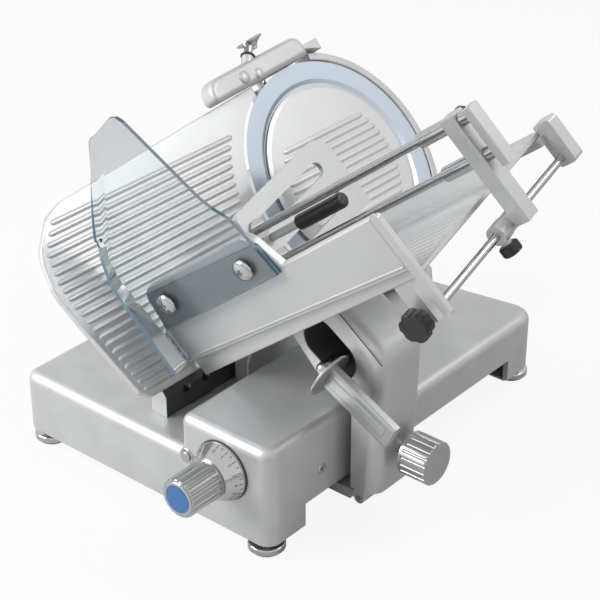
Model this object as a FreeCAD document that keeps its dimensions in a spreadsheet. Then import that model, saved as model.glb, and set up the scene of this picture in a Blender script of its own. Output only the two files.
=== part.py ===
import FreeCAD, Part
import Sketcher
import math
import os
from types import SimpleNamespace
from FreeCAD import Placement, Rotation, Vector

# Gravity-feed food slicer with a hand-pushed carriage.
# World frame: +Z up, X across the machine (the carriage side is +X), Y away from the operator.
# Lengths are millimetres and angles degrees. Every piece is drawn in one of three frames:
#   WORLD  the base, with its origin on the table between the four feet
#   BLADE  x along the blade's axis (away from its back), y along world Y, z up the blade's slope
#   TRAY   x along the feed direction, y across the tray, z square to the tray's floor

SIZES = {
    # base casting
    "base_left": 204, "base_right": 244, "base_front": 323, "base_rear": 279, "base_bottom": 28,
    "base_top": 118, "base_wall": 8, "waist_x": 72, "waist_rear": 252, "lobe_x": 42,
    "lobe_rear": 290, "left_corner": 18, "right_corner": 20, "rear_corner": 30, "top_round": 14,
    "housing_left": 92, "housing_rear": 30, "housing_top": 172, "housing_corner": 14,
    "housing_round": 13, "skirt_height": 62, "skirt_front_leg": 71, "skirt_rear_leg": 74,
    "plate_inset": 5, "plate_right": 190, "plate_thick": 3, "fit": 0.05, "gap": 0.3,
    # feet
    "foot_left": 188, "foot_right": 212, "foot_front": 292, "foot_rear": 262, "foot_radius": 25,
    "foot_thick": 9,
    "foot_stem": 8, "pad_radius": 21, "pad_thick": 4,
    # front controls
    "dial_x": 166, "dial_height": 118, "dial_radius": 41, "dial_neck": 30, "dial_depth": 27,
    "knob_radius": 27, "knob_depth": 55, "knob_flutes": 20, "flute_radius": 2.6,
    "cap_radius": 19, "cap_thick": 2, "dial_shaft": 8, "dial_shaft_length": 200, "cam_radius": 42,
    "cam_thick": 10, "button_x": 104, "button_height": 112,
    "button_radius": 7, "button_proud": 4,
    # blade head
    "blade_x": -56.5, "blade_y": 194.7, "blade_height": 275.6, "blade_tilt": 38.4,
    "blade_radius": 175, "blade_band": 27, "blade_bore": 12, "hub_radius": 58, "hub_depth": 16,
    "hub_thick": 4, "shaft_flange": 34, "shaft_flange_thick": 6, "nut_radius": 19, "nut_thick": 8,
    "cover_inset": 36, "cover_thick": 3.7, "cover_proud": 0.8,
    "ring_wall": 11.5, "ring_clear": 1.5, "ring_depth": 30, "ring_proud": 3,
    "ring_from": -118, "ring_to": 75,
    "carrier_radius": 118, "carrier_front": 30, "carrier_thick": 14, "carrier_half": 80,
    "arm_width": 44, "boss_radius": 36, "boss_end": 80, "bearing_radius": 26,
    "bearing_thick": 12, "pulley_front": 84, "pulley_thick": 14, "driven_radius": 62,
    "drive_radius": 20, "motor_drop": 112, "belt_thick": 3, "motor_front": 112,
    "motor_length": 76, "motor_radius": 36, "motor_shaft": 7, "flange_thick": 6,
    "standoff_radius": 8, "standoff_y": 54, "motor_cover_end": 196, "motor_cover_top": 72,
    "cover_wall": 3, "cover_corner": 32,
    "tie_rod": 4, "tie_knob_radius": 20, "tie_knob_thick": 22,
    # blade sharpener
    "sharp_turn": 3.2, "sharp_front": 170, "sharp_rear": 38, "sharp_low": 1,
    "sharp_high": 34.5, "sharp_back": 34, "sharp_face": 26, "sharp_clear": 0, "sharp_round": 23.5,
    "sharp_hump": 18, "shell_round": 8, "saddle_front": 58, "ear_rear": 78, "ear_high": 17, "ear_clear": 3,
    "edge_clear": 2, "post_y": -30, "post_x": -24,
    "post_radius": 7, "post_low": 25, "post_high": 25, "stone_radius": 7, "stone_thick": 4,
    "stem_x": 14, "stem_foot_y": -68, "stem_head_y": -45, "stem_head_z": 58,
    "stem_boss": 9, "stem_boss_length": 9.5, "stem_root": 14,
    "stem_radius": 7, "stem_head": 21,
    # gauge plate and its slide
    "gauge_drop": 3, "gauge_thick": 8, "gauge_clear": 4, "gauge_top": 165, "gauge_low": 142,
    "gauge_left": 557, "gauge_right": 80, "gauge_round": 34, "bracket_left": 3,
    "bracket_right": 30, "bracket_front": 282, "bracket_rear": 125, "bracket_drop": 100.6,
    "well_left": -168, "well_right": 0, "bracket_bore": 7, "bore_drop": 29,
    "bore_first": 242, "bore_pitch": 37.5,
    "slider_front": 235, "slider_rear": 195, "gauge_travel": 18, "gauge_rod": 8,
    "gauge_rod_z": 90, "gauge_rod_left": 110, "gauge_rod_right": 76, "mount_thick": 10,
    # housing beside the gauge slide
    "ridge_left": 36, "ridge_right": 60, "ridge_front": 153, "ridge_rear": 10, "ridge_drop": 103.6,
    "ridge_round": 24,
    # carriage slide
    "slide_rod": 10, "slide_x": 150, "slide_z": 62, "slide_front": 300, "slide_rear": 254,
    "block_wide": 44, "block_low": 36, "block_high": 86, "arm_front": 178, "arm_rear": 90,
    "bush_wall": 3, "bush_length": 24, "roller_x": 84, "roller_radius": 9, "roller_wide": 12,
    "tilt_x": 272, "tilt_z": 43, "knuckle": 8, "tilt_pin": 4,
    # carriage column
    "column_left": 258, "column_right": 298, "column_bottom": 55, "shoulder_x": 309,
    "shoulder_z": 267, "shoulder_round": 40, "column_corner": 20, "recess_x": 221, "recess_z": 250,
    "recess_length": 92, "recess_width": 56, "recess_depth": 52, "recess_slope": 32,
    "lock_y": 129, "lock_z": 110, "lock_knob_from": 318, "lock_knob_to": 360,
    "lock_knob_radius": 30, "lock_shaft": 9,
    "handle_x": 245, "handle_z": 233, "handle_y": 205, "handle_slope": 26.5,
    "handle_disc": 33, "handle_disc_thick": 4, "handle_length": 112, "handle_wide": 36,
    "handle_thick": 15, "handle_root": 9, "handle_neck": 13.5,
    # tray
    "tray_cross_tilt": 13, "tray_start": 4, "wall_face": 441, "wall_thick": 12,
    "wall_top": 34, "wall_end": 440, "wall_low_left": 31, "wall_low_right": 44,
    "raised_left": 20, "raised_right": 262, "raised_top": 88, "raised_round": 22,
    "floor_top": 51, "floor_thick": 6, "floor_end": 440, "floor_far": 108, "floor_round": 18,
    "end_bar_from": 440, "end_bar_to": 452, "end_bar_wide": 8, "end_bar_low": 114,
    "rail_x": 446, "rail_z": 96, "rail_radius": 5.5, "bracket_far": 94, "rail_knob_x": 406,
    "rail_knob_z": 104, "rail_knob_radius": 20.5, "knob_lobes": 6, "rail_lug_wide": 26,
    # hand guard
    "guard_thick": 6, "guard_gap": 4, "guard_flap": 36, "dome_radius": 15, "dome_near": 54,
    "dome_near_z": 58, "dome_far": 218, "dome_far_z": 51, "strip_low": 30, "strip_high": 77,
    # food pusher
    "beam_inset": 21, "beam_half": 13, "beam_from": 460, "beam_to": 484, "beam_top": 55,
    "beam_low": 103, "hub_wall": 7, "collar_wide": 22, "collar_lug_y": 8, "collar_lug": 7,
    "arm_knob_radius": 13.5, "rod_radius": 6, "rod_one_z": 44.5,
    "rod_two_z": -8, "rod_start": 58, "rod_end": 505, "stop_radius": 9.5, "sleeve_radius": 10,
    "sleeve_length": 50, "rod_knob_radius": 11, "rod_knob_stem": 3,
    "yoke_from": 498, "yoke_to": 511, "yoke_top": 54, "yoke_low": 28, "yoke_half": 11,
    "plate_from": 62, "plate_wide": 8, "plate_near": 283, "plate_far": 60, "plate_top": 80,
    "plate_low": 43, "plate_corner": 30, "slot_half": 11, "slot_near": 9.5, "slot_far": 36,
    "grip_inset": 33, "grip_z": 23, "shank_radius": 6, "shank_length": 60, "grip_radius": 11,
    "grip_length": 96, "spike_radius": 2, "spike_length": 7,
}

DOC = FreeCAD.newDocument("FoodSlicer")
SHEET = DOC.addObject("Spreadsheet::Sheet", "Sizes")


def formula_of(value):
    """The text that stands for a value in an expression."""
    return value.formula if isinstance(value, Size) else f"{float(value):.9g}"


class Size(float):
    """A number that also carries the formula it came from, so that it can drive the document."""

    def __new__(cls, value, formula):
        size = super().__new__(cls, value)
        size.formula = formula
        return size

    def __add__(self, other):
        return Size(float(self) + float(other), f"({self.formula} + {formula_of(other)})")

    def __radd__(self, other):
        return Size(float(other) + float(self), f"({formula_of(other)} + {self.formula})")

    def __sub__(self, other):
        return Size(float(self) - float(other), f"({self.formula} - {formula_of(other)})")

    def __rsub__(self, other):
        return Size(float(other) - float(self), f"({formula_of(other)} - {self.formula})")

    def __mul__(self, other):
        return Size(float(self) * float(other), f"({self.formula} * {formula_of(other)})")

    def __rmul__(self, other):
        return self * other

    def __truediv__(self, other):
        return Size(float(self) / float(other), f"({self.formula} / {formula_of(other)})")

    def __neg__(self):
        return Size(-float(self), f"(-1 * {self.formula})")


for row, (alias, number) in enumerate(SIZES.items(), start=1):
    SHEET.set(f"A{row}", alias)
    SHEET.set(f"B{row}", str(number))
    SHEET.setAlias(f"B{row}", alias)
DOC.recompute()
s = SimpleNamespace(**{alias: Size(number, f"Sizes.{alias}") for alias, number in SIZES.items()})


# ---------------------------------------------------------------- frames

WORLD = Placement()
BLADE = Placement(
    Vector(s.blade_x, s.blade_y, s.blade_height),
    Rotation(Vector(0, 1, 0), -float(s.blade_tilt)),
)
TRAY = BLADE * Placement(Vector(), Rotation(Vector(1, 0, 0), float(s.tray_cross_tilt)))
AXES = {"x": Vector(1, 0, 0), "y": Vector(0, 1, 0), "z": Vector(0, 0, 1)}
PIECES = []


def facing(frame, point, axis):
    """A frame at a point of another frame, with its z along the axis given there."""
    return frame * Placement(Vector(*point), Rotation(AXES["z"], Vector(*axis)))


# ---------------------------------------------------------------- drawing helpers

def failed(thing):
    """Whether an object of the document is in a bad state."""
    return "Invalid" in thing.State or "Error" in thing.State


def bind(thing, **values):
    """Sets properties, and ties each one that has a formula to the sheet."""
    for name, value in values.items():
        setattr(thing, name, float(value))
        if isinstance(value, Size):
            thing.setExpression(name, value.formula)


def put(thing, point):
    """Places an object at a point, each coordinate tied to the sheet where it has a formula."""
    thing.Placement.Base = Vector(*point)
    for axis, value in zip("xyz", point):
        if isinstance(value, Size):
            thing.setExpression(f".Placement.Base.{axis}", value.formula)


def new_name(stem):
    """A document name that no other object has."""
    return f"{stem}_{len(DOC.Objects)}"


def box(low, high):
    """A block between two corners."""
    block = DOC.addObject("Part::Box", new_name("block"))
    bind(block, Length=high[0] - low[0], Width=high[1] - low[1], Height=high[2] - low[2])
    put(block, low)
    return block


def rod(start, axis, length, radius, top=None):
    """A cylinder, or a cone where a second radius is given, from a point along x, y or z."""
    kind = "Part::Cylinder" if top is None else "Part::Cone"
    solid = DOC.addObject(kind, new_name("round"))
    if top is None:
        bind(solid, Radius=radius, Height=length)
    else:
        bind(solid, Radius1=radius, Radius2=top, Height=length)
    solid.Placement.Rotation = Rotation(AXES["z"], AXES[axis])
    put(solid, start)
    return solid


def tube(start, axis, length, outer, inner):
    """A round tube."""
    return cut(rod(start, axis, length, outer), rod(start, axis, length, inner))


def cut(base, *tools):
    """The base less every tool; each tool has to take something away."""
    for tool in tools:
        result = DOC.addObject("Part::Cut", new_name("cut"))
        result.Base = base
        result.Tool = tool
        result.Refine = True
        DOC.recompute()
        if result.Shape.Volume >= base.Shape.Volume - 1e-3:
            raise ValueError(f"{tool.Label} cuts nothing from {base.Label}")
        base = result
    return base


def fuse(*solids):
    """The solids joined into one."""
    result = DOC.addObject("Part::MultiFuse", new_name("joined"))
    result.Shapes = list(solids)
    result.Refine = True
    return result


def group(*solids):
    """Separate solids kept side by side as one sub-part."""
    result = DOC.addObject("Part::Compound", new_name("group"))
    result.Links = list(solids)
    return result


def origin_item(body, role):
    """One of the body's own origin planes or axes."""
    return next(item for item in body.Origin.OriginFeatures if item.Role == role)


PLANES = {"x": "YZ_Plane", "y": "XZ_Plane", "z": "XY_Plane"}


def drawn(body, outline, normal, offset):
    """A closed outline in the plane square to an axis, each corner held by two tied distances."""
    sketch = body.newObject("Sketcher::SketchObject", new_name("outline"))
    sketch.AttachmentSupport = [(origin_item(body, PLANES[normal]), "")]
    sketch.MapMode = "FlatFace"
    height = -offset if normal == "y" else offset
    sketch.AttachmentOffset = Placement(Vector(0, 0, height), Rotation())
    if isinstance(height, Size):
        sketch.setExpression(".AttachmentOffset.Base.z", height.formula)
    ends = [Vector(float(a), float(b), 0) for a, b in outline]
    for number, start in enumerate(ends):
        stop = ends[(number + 1) % len(ends)]
        sketch.addGeometry(Part.LineSegment(start, stop), False)
    for number, (across, up) in enumerate(outline):
        follower = (number + 1) % len(outline)
        sketch.addConstraint(Sketcher.Constraint("Coincident", number, 2, follower, 1))
        for kind, value in (("DistanceX", across), ("DistanceY", up)):
            index = sketch.addConstraint(Sketcher.Constraint(kind, -1, 1, number, 1, float(value)))
            if isinstance(value, Size):
                sketch.setExpression(f"Constraints[{index}]", value.formula)
    return sketch


def extruded(outline, normal, start, length):
    """A body padded from an outline square to an axis, from start along that axis."""
    body = DOC.addObject("PartDesign::Body", new_name("body"))
    sketch = drawn(body, outline, normal, start)
    pad = body.newObject("PartDesign::Pad", new_name("pad"))
    pad.Profile = sketch
    pad.Reversed = normal == "y"
    bind(pad, Length=length)
    sketch.Visibility = False
    return body


def turned(outline):
    """A body of revolution about its z axis, from corners given as (radius, height)."""
    body = DOC.addObject("PartDesign::Body", new_name("body"))
    sketch = drawn(body, outline, "y", 0)
    solid = body.newObject("PartDesign::Revolution", new_name("turn"))
    solid.Profile = sketch
    solid.ReferenceAxis = (origin_item(body, "Z_Axis"), [""])
    solid.Angle = 360
    return body


def block_body(low, high):
    """A body that starts from a block between two corners."""
    body = DOC.addObject("PartDesign::Body", new_name("body"))
    block = body.newObject("PartDesign::AdditiveBox", new_name("block"))
    bind(block, Length=high[0] - low[0], Width=high[1] - low[1], Height=high[2] - low[2])
    put(block, low)
    return body


def bar_body(start, axis, length, radius):
    """A body that starts from a cylinder along x, y or z."""
    body = DOC.addObject("PartDesign::Body", new_name("body"))
    bar = body.newObject("PartDesign::AdditiveCylinder", new_name("bar"))
    bind(bar, Radius=radius, Height=length)
    bar.Placement.Rotation = Rotation(AXES["z"], AXES[axis])
    put(bar, start)
    return body


def wrapped(solid):
    """A body that starts from the result of a cut or a joint."""
    body = DOC.addObject("PartDesign::Body", new_name("body"))
    body.BaseFeature = solid
    return body


def rounded(body, radius, chosen):
    """Rounds the edges of a body for which chosen(edge) holds."""
    DOC.recompute()
    tip = body.Tip
    names = [f"Edge{n}" for n, edge in enumerate(tip.Shape.Edges, start=1) if chosen(edge)]
    if not names:
        raise ValueError(f"no edge chosen on {body.Label}")
    fillet = body.newObject("PartDesign::Fillet", new_name("round_edge"))
    fillet.Base = (tip, names)
    bind(fillet, Radius=radius)
    DOC.recompute()
    if failed(fillet):
        raise ValueError(f"a radius of {float(radius)} failed on {body.Label}: {names}")
    return body


def along(axis, **near):
    """Chooses straight edges along an axis, near the coordinates given."""
    def chosen(edge):
        if len(edge.Vertexes) != 2 or edge.Curve.TypeId != "Part::GeomLine":
            return False
        way = edge.Vertexes[1].Point - edge.Vertexes[0].Point
        middle = (edge.Vertexes[1].Point + edge.Vertexes[0].Point) * 0.5
        square = abs(way.dot(AXES[axis])) > 0.999 * way.Length
        return square and all(abs(getattr(middle, name) - value) < 0.6 for name, value in near.items())
    return chosen


def at_level(axis, value):
    """Chooses edges that lie wholly at one coordinate."""
    def chosen(edge):
        points = edge.discretize(5)
        return all(abs(getattr(point, axis) - value) < 0.01 for point in points)
    return chosen


def either(*choosers):
    """Chooses an edge that any of the choosers wants."""
    return lambda edge: any(chooser(edge) for chooser in choosers)


def repeated(body, feature, count):
    """Repeats a feature round the body's z axis."""
    pattern = body.newObject("PartDesign::PolarPattern", new_name("pattern"))
    pattern.Originals = [feature]
    pattern.Axis = (origin_item(body, "Z_Axis"), [""])
    pattern.Angle = 360
    pattern.Occurrences = int(count)
    if isinstance(count, Size):
        pattern.setExpression("Occurrences", count.formula)
    body.Tip = pattern
    return body


def fluted(body, radius, start, length, flute, count):
    """Cuts evenly spaced round flutes along the z axis into a body's rim."""
    groove = body.newObject("PartDesign::SubtractiveCylinder", new_name("flute"))
    bind(groove, Radius=flute, Height=length)
    put(groove, (radius, 0, start))
    return repeated(body, groove, count)


def below_world(frame, height):
    """A large block, in a tilted frame's coordinates, that fills the world below a height."""
    reach = 900
    block = DOC.addObject("Part::Box", new_name("ground"))
    bind(block, Length=2 * reach, Width=2 * reach, Height=reach)
    block.Placement = frame.inverse() * Placement(Vector(-reach, -reach, height - reach), Rotation())
    return block


def beyond(frame, home, axis, level):
    """A large block, in the home frame's coordinates, past a level on another frame's axis."""
    reach = 900
    corner = Vector(-reach, -reach, -reach)
    setattr(corner, axis, float(level))
    block = DOC.addObject("Part::Box", new_name("beyond"))
    bind(block, Length=2 * reach, Width=2 * reach, Height=2 * reach)
    block.Placement = home.inverse() * frame * Placement(corner, Rotation())
    return block


def piece(label, solid, frame=WORLD):
    """Names a sub-part and says which frame it is drawn in."""
    if solid.TypeId in ("Part::Cylinder", "Part::Box"):
        solid = group(solid)
    PIECES.append((label, solid, frame))


# ---------------------------------------------------------------- base

LEFT = -s.base_left
RIGHT = s.base_right
FRONT = -s.base_front
HOUSING_BACK = -s.housing_rear


def base_outline(inset):
    """The base seen from above, drawn in by a distance; its rear steps out behind the blade head."""
    return [
        (LEFT + inset, FRONT + inset), (RIGHT - inset, FRONT + inset), (RIGHT - inset, s.base_rear - inset),
        (s.waist_x - inset / 2, s.waist_rear - inset), (s.lobe_x - inset / 2, s.lobe_rear - inset),
        (LEFT + inset, s.lobe_rear - inset),
    ]


def base_block(inset, low, high):
    """A block in the base's outline, with rounded corners."""
    block = extruded(base_outline(inset), "z", low, high - low)
    rounded(block, s.left_corner - inset, along("z", x=LEFT + inset))
    rounded(block, s.right_corner - inset, along("z", x=RIGHT - inset, y=FRONT + inset))
    return rounded(block, s.rear_corner - inset, along("z", x=RIGHT - inset, y=s.base_rear - inset))


def base_slab():
    """The low slab with its rounded corners and top edge."""
    slab = base_block(0, s.base_bottom, s.base_top)
    return rounded(slab, s.top_round, at_level("z", s.base_top))


def control_housing():
    """The raised block over the front right corner."""
    block = block_body((s.housing_left, FRONT, s.base_bottom + 1), (RIGHT, HOUSING_BACK, s.housing_top))
    rounded(block, s.housing_corner, along("z", x=s.housing_left))
    rounded(block, s.right_corner, along("z", x=RIGHT, y=FRONT))
    rounded(block, s.housing_corner, along("z", x=RIGHT, y=HOUSING_BACK))
    return rounded(block, s.housing_round, at_level("z", s.housing_top))


def base_casting():
    """Slab and housing in one casting, hollow from below, with its openings."""
    wall = s.base_wall
    hollow = base_block(wall, s.base_bottom - 1, s.base_top - wall)
    upper = block_body(
        (s.housing_left + wall, FRONT + wall, s.base_top - wall - 1),
        (RIGHT - wall, HOUSING_BACK - wall, s.housing_top - wall),
    )
    rounded(upper, s.housing_corner - wall, along("z"))
    skirt = box(
        (RIGHT - wall - 1, FRONT + s.skirt_front_leg, s.base_bottom - 1),
        (RIGHT + 1, s.base_rear - s.skirt_rear_leg, s.skirt_height),
    )
    slot = box(
        (s.bracket_left - s.gauge_travel - 2, -s.slider_front - 2, s.base_top - wall - 1),
        (s.bracket_right + 2, -s.slider_rear + 2, s.base_top + 1),
    )
    dial_hole = rod((s.dial_x, FRONT - 1, s.dial_height), "y", wall + 2, s.dial_shaft + s.fit)
    button_hole = rod((s.button_x, FRONT - 1, s.button_height), "y", wall + 2, s.button_radius + s.gap)
    button_room = rod((s.button_x, FRONT + wall, s.button_height), "y", 8, s.button_radius + 4)
    motor_well = box(
        (s.well_left, s.blade_y - s.carrier_half + 8, s.base_top - wall - 1),
        (s.well_right, s.blade_y + s.carrier_half - 8, s.base_top + 1),
    )
    keyhole = rod((RIGHT - wall - 1, -220, 100), "x", wall + 2, 3)
    body = fuse(base_slab(), control_housing())
    return cut(body, hollow, upper, skirt, slot, dial_hole, button_hole, button_room, motor_well, keyhole)


def bottom_plate():
    """The sheet that closes the base from below, open beside the carriage's way."""
    under = s.base_bottom - s.plate_thick
    beside = box(
        (s.plate_right, FRONT + s.skirt_front_leg, under - 1),
        (RIGHT + 1, s.base_rear - s.skirt_rear_leg, s.base_bottom + 1),
    )
    return cut(base_block(s.plate_inset, under, s.base_bottom), beside)


def feet_centres():
    """The four corners that the feet stand at."""
    return [(x, y) for x in (-s.foot_left, s.foot_right) for y in (-s.foot_front, s.foot_rear)]


def feet():
    """Chromed discs on short stems."""
    solids = []
    for x, y in feet_centres():
        disc = bar_body((x, y, s.pad_thick), "z", s.foot_thick, s.foot_radius)
        rounded(disc, 3, at_level("z", s.pad_thick + s.foot_thick))
        stem = rod((x, y, s.pad_thick + 1), "z", s.base_bottom - s.plate_thick - s.pad_thick - 1, s.foot_stem)
        solids.append(fuse(disc, stem))
    return group(*solids)


def foot_pads():
    """Rubber discs under the feet."""
    return group(*[rod((x, y, 0), "z", s.pad_thick, s.pad_radius) for x, y in feet_centres()])


def side_ridge():
    """The raised cover between the gauge slide and the carriage."""
    ridge_top = s.blade_height - s.ridge_drop
    block = block_body(
        (s.ridge_left, -s.ridge_front, s.base_top), (s.ridge_right, s.ridge_rear, ridge_top)
    )
    rounded(block, s.ridge_round, along("x", y=-s.ridge_front, z=ridge_top))
    rounded(block, 3, at_level("x", s.ridge_right))
    lean = math.radians(s.tray_cross_tilt)
    floor_low = -s.wall_face * math.sin(lean) - (s.floor_top + s.floor_thick) * math.cos(lean)
    return cut(block, beyond(BLADE, WORLD, "z", floor_low - 1))


piece("base_casting", base_casting())
piece("bottom_plate", bottom_plate())
piece("feet", feet())
piece("foot_pads", foot_pads())
piece("side_ridge", side_ridge())


# ---------------------------------------------------------------- thickness control and start button

def fluted_knob(radius, start, length, flute, count):
    """A fluted knob along z, with its far edge eased."""
    body = bar_body((0, 0, start), "z", length, radius)
    rounded(body, 2, at_level("z", start + length))
    return fluted(body, radius + flute * 0.35, start + 4, length, flute, count)


def thickness_shaft():
    """The dial's shaft, with the cam disc that pushes the gauge slide."""
    shaft = rod((0, 0, -s.dial_shaft_length), "z", s.dial_shaft_length + s.dial_depth, s.dial_shaft)
    cam_front = s.slider_front - s.base_front - 8 - s.gap
    cam = rod((0, 0, cam_front - s.cam_thick), "z", s.cam_thick, s.cam_radius)
    return fuse(shaft, cam)


DIAL = facing(WORLD, (s.dial_x, FRONT, s.dial_height), (0, -1, 0))
KNOB_START = s.dial_depth
bore = s.dial_shaft

piece("thickness_shaft", thickness_shaft(), DIAL)
piece("dial_cone", turned([
    (bore, s.gap), (s.dial_radius, s.gap), (s.dial_radius, 5), (s.dial_neck, s.dial_depth),
    (bore, s.dial_depth),
]), DIAL)
piece("thickness_knob", fluted_knob(s.knob_radius, KNOB_START, s.knob_depth, s.flute_radius, s.knob_flutes),
      DIAL)
piece("knob_cap", rod((0, 0, KNOB_START + s.knob_depth), "z", s.cap_thick, s.cap_radius), DIAL)


def start_button():
    """A domed push button with a collar that keeps it in the wall."""
    stem = bar_body((0, 0, -s.base_wall - 2), "z", s.base_wall + 2 + s.button_proud, s.button_radius)
    rounded(stem, 1.5, at_level("z", s.button_proud))
    collar = rod((0, 0, -s.base_wall - 6), "z", 5, s.button_radius + 2.5)
    return fuse(stem, collar)


piece("start_button", start_button(), facing(WORLD, (s.button_x, FRONT, s.button_height), (0, -1, 0)))


# ---------------------------------------------------------------- gauge plate and its slide

def gauge_plate():
    """The ribbed table that sets the slice: a sheet with a hollow cut for the blade."""
    left = -s.gauge_left
    outline = [
        (-s.gauge_right, s.gauge_top + 7), (left + 76, s.gauge_top - 26), (left + 45, s.gauge_top - 37),
        (left + 8, s.gauge_top - 78), (left, 42), (left + 1, 26), (left + 12, -22),
        (left + 41, 13 - s.gauge_low), (left + 57, -s.gauge_low), (-s.gauge_right, -s.gauge_low),
    ]
    front = -s.gauge_drop
    sheet = extruded(outline, "x", front - s.gauge_thick, s.gauge_thick)
    rounded(sheet, s.gauge_round, either(along("x", y=left + 45), along("x", y=left + 8)))
    rounded(sheet, 8, along("x", y=left + 57))
    rounded(sheet, 2, at_level("x", front))
    hollow = rod((front - s.gauge_thick - 1, 0, 0), "x", s.gauge_thick + 2, s.blade_radius + s.gauge_clear)
    return cut(sheet, hollow)


def gauge_bracket():
    """The upright under the plate's low edge, with three blind holes in its side."""
    top = s.blade_height - s.bracket_drop
    block = box(
        (s.bracket_left, -s.bracket_front, s.base_top + s.gap),
        (s.bracket_right, -s.bracket_rear, top),
    )
    plate_back = beyond(BLADE, WORLD, "x", -s.gauge_drop - s.gauge_thick)
    holes = [
        rod((s.bracket_right - 12, n * s.bore_pitch - s.bore_first, top - s.bore_drop), "x", 13,
            s.bracket_bore)
        for n in range(3)
    ]
    return cut(block, plate_back, *holes)


def gauge_slider():
    """The block inside the base that runs on the gauge rod, with its neck and cam arm."""
    rod_y = -(s.slider_front + s.slider_rear) / 2
    low = s.gauge_rod_z - s.gauge_rod - 6
    roof = s.base_top - s.base_wall - 2
    block = box((s.bracket_left - 4, -s.slider_front, low), (s.bracket_right + 4, -s.slider_rear, roof))
    neck = box((s.bracket_left + 2, -s.slider_front, roof - 1),
               (s.bracket_right - 2, -s.slider_rear, s.base_top + s.gap))
    arm = box((s.bracket_right + 3, -s.slider_front, s.dial_height - 20),
              (s.dial_x - s.dial_shaft - 4, -s.slider_front + 8, roof))
    hole = rod((s.bracket_left - 5, rod_y, s.gauge_rod_z), "x", 60, s.gauge_rod + s.fit)
    return cut(fuse(block, neck, arm), hole)


piece("gauge_plate", gauge_plate(), BLADE)
piece("gauge_bracket", gauge_bracket())
piece("gauge_slider", gauge_slider())
GAUGE_ROD_Y = -(s.slider_front + s.slider_rear) / 2


# ---------------------------------------------------------------- carriage slide rod and its mounts

def rod_mounts():
    """Blocks under the base's roof that hold the gauge rod and the carriage rod."""
    roof = s.base_top - s.base_wall
    solids = []
    for x in (-s.gauge_rod_left, s.gauge_rod_right - s.mount_thick):
        block = box((x, GAUGE_ROD_Y - 11, s.gauge_rod_z - 14), (x + s.mount_thick, GAUGE_ROD_Y + 11, roof))
        hole = rod((x - 1, GAUGE_ROD_Y, s.gauge_rod_z), "x", s.mount_thick + 2, s.gauge_rod)
        solids.append(cut(block, hole))
    front_mount = (FRONT + s.base_wall, s.mount_thick - s.slide_front, -s.slide_front)
    rear_mount = (s.slide_rear - s.mount_thick, s.slide_rear, s.slide_rear - s.mount_thick - 1)
    for low, high, hole_start in (front_mount, rear_mount):
        block = box((s.slide_x - 18, low, s.slide_z - 18), (s.slide_x + 18, high, roof))
        hole = rod((s.slide_x, hole_start, s.slide_z), "y", s.mount_thick + 2, s.slide_rod)
        solids.append(cut(block, hole))
    return group(*solids)


piece("rod_mounts", rod_mounts())
piece("guide_rods", group(
    rod((-s.gauge_rod_left, GAUGE_ROD_Y, s.gauge_rod_z), "x", s.gauge_rod_left + s.gauge_rod_right,
        s.gauge_rod),
    rod((s.slide_x, -s.slide_front, s.slide_z), "y", s.slide_front + s.slide_rear, s.slide_rod),
))


# ---------------------------------------------------------------- blade head

def blade():
    """The dished round knife, turned about the blade axis."""
    rim = s.blade_radius
    band = rim - s.blade_band
    back = s.hub_depth + s.hub_thick
    return turned([
        (s.blade_bore, -back), (s.hub_radius + 4, -back), (s.carrier_radius + 2, -9), (band + 2, -8),
        (rim, -0.6), (rim, 0), (band, -1.5), (band - 6, -s.cover_thick - 0.5),
        (s.carrier_radius, -5), (s.hub_radius, -s.hub_depth), (s.blade_bore, -s.hub_depth),
    ])


AXLE = facing(BLADE, (0, 0, 0), (1, 0, 0))
FLANGE_BACK = -s.hub_depth - s.hub_thick - s.shaft_flange_thick
PULLEY_BACK = -s.pulley_front - s.pulley_thick
CARRIER_BACK = -s.carrier_front - s.carrier_thick
SHARP_TURN = Placement(Vector(), Rotation(AXES["x"], float(s.sharp_turn)))
SHARP = BLADE * SHARP_TURN
RING_INNER = s.blade_radius + s.ring_clear
RING_OUTER = RING_INNER + s.ring_wall
POST_LOW = s.blade_radius - s.post_low
POST_HIGH = s.blade_radius + s.post_high


def about_axle(solid):
    """A solid turned about the blade's axis to where the sharpener stands."""
    turned_group = group(solid)
    turned_group.Placement = SHARP_TURN
    return turned_group


def blade_shaft():
    """The hollow shaft with its flange, which the blade is pulled against."""
    shaft = rod((0, 0, PULLEY_BACK - 2), "z", -PULLEY_BACK + 2 - s.hub_depth, s.blade_bore)
    flange = rod((0, 0, FLANGE_BACK), "z", s.shaft_flange_thick, s.shaft_flange)
    thread = rod((0, 0, -s.hub_depth - 1), "z", s.nut_thick, s.blade_bore - 1)
    bore_hole = rod((0, 0, PULLEY_BACK - 3), "z", -PULLEY_BACK + 4, s.tie_rod + 0.6)
    return cut(fuse(shaft, flange, thread), bore_hole)


def blade_nut():
    """The round nut that holds the blade on its shaft."""
    nut = rod((0, 0, -s.hub_depth), "z", s.nut_thick, s.nut_radius)
    return cut(nut, rod((0, 0, -s.hub_depth - 1), "z", s.nut_thick + 2, s.blade_bore - 1))


piece("blade", blade(), AXLE)
piece("blade_shaft", blade_shaft(), AXLE)
piece("blade_nut", blade_nut(), AXLE)


def blade_cover():
    """The disc over the blade's middle, with ribs across its face."""
    face = s.cover_proud
    radius = s.blade_radius - s.cover_inset
    back = 0.5 - s.cover_thick
    return turned([(0, back), (radius, back), (radius, -1), (radius - 6, face), (0, face)])


piece("blade_cover", blade_cover(), AXLE)


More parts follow.
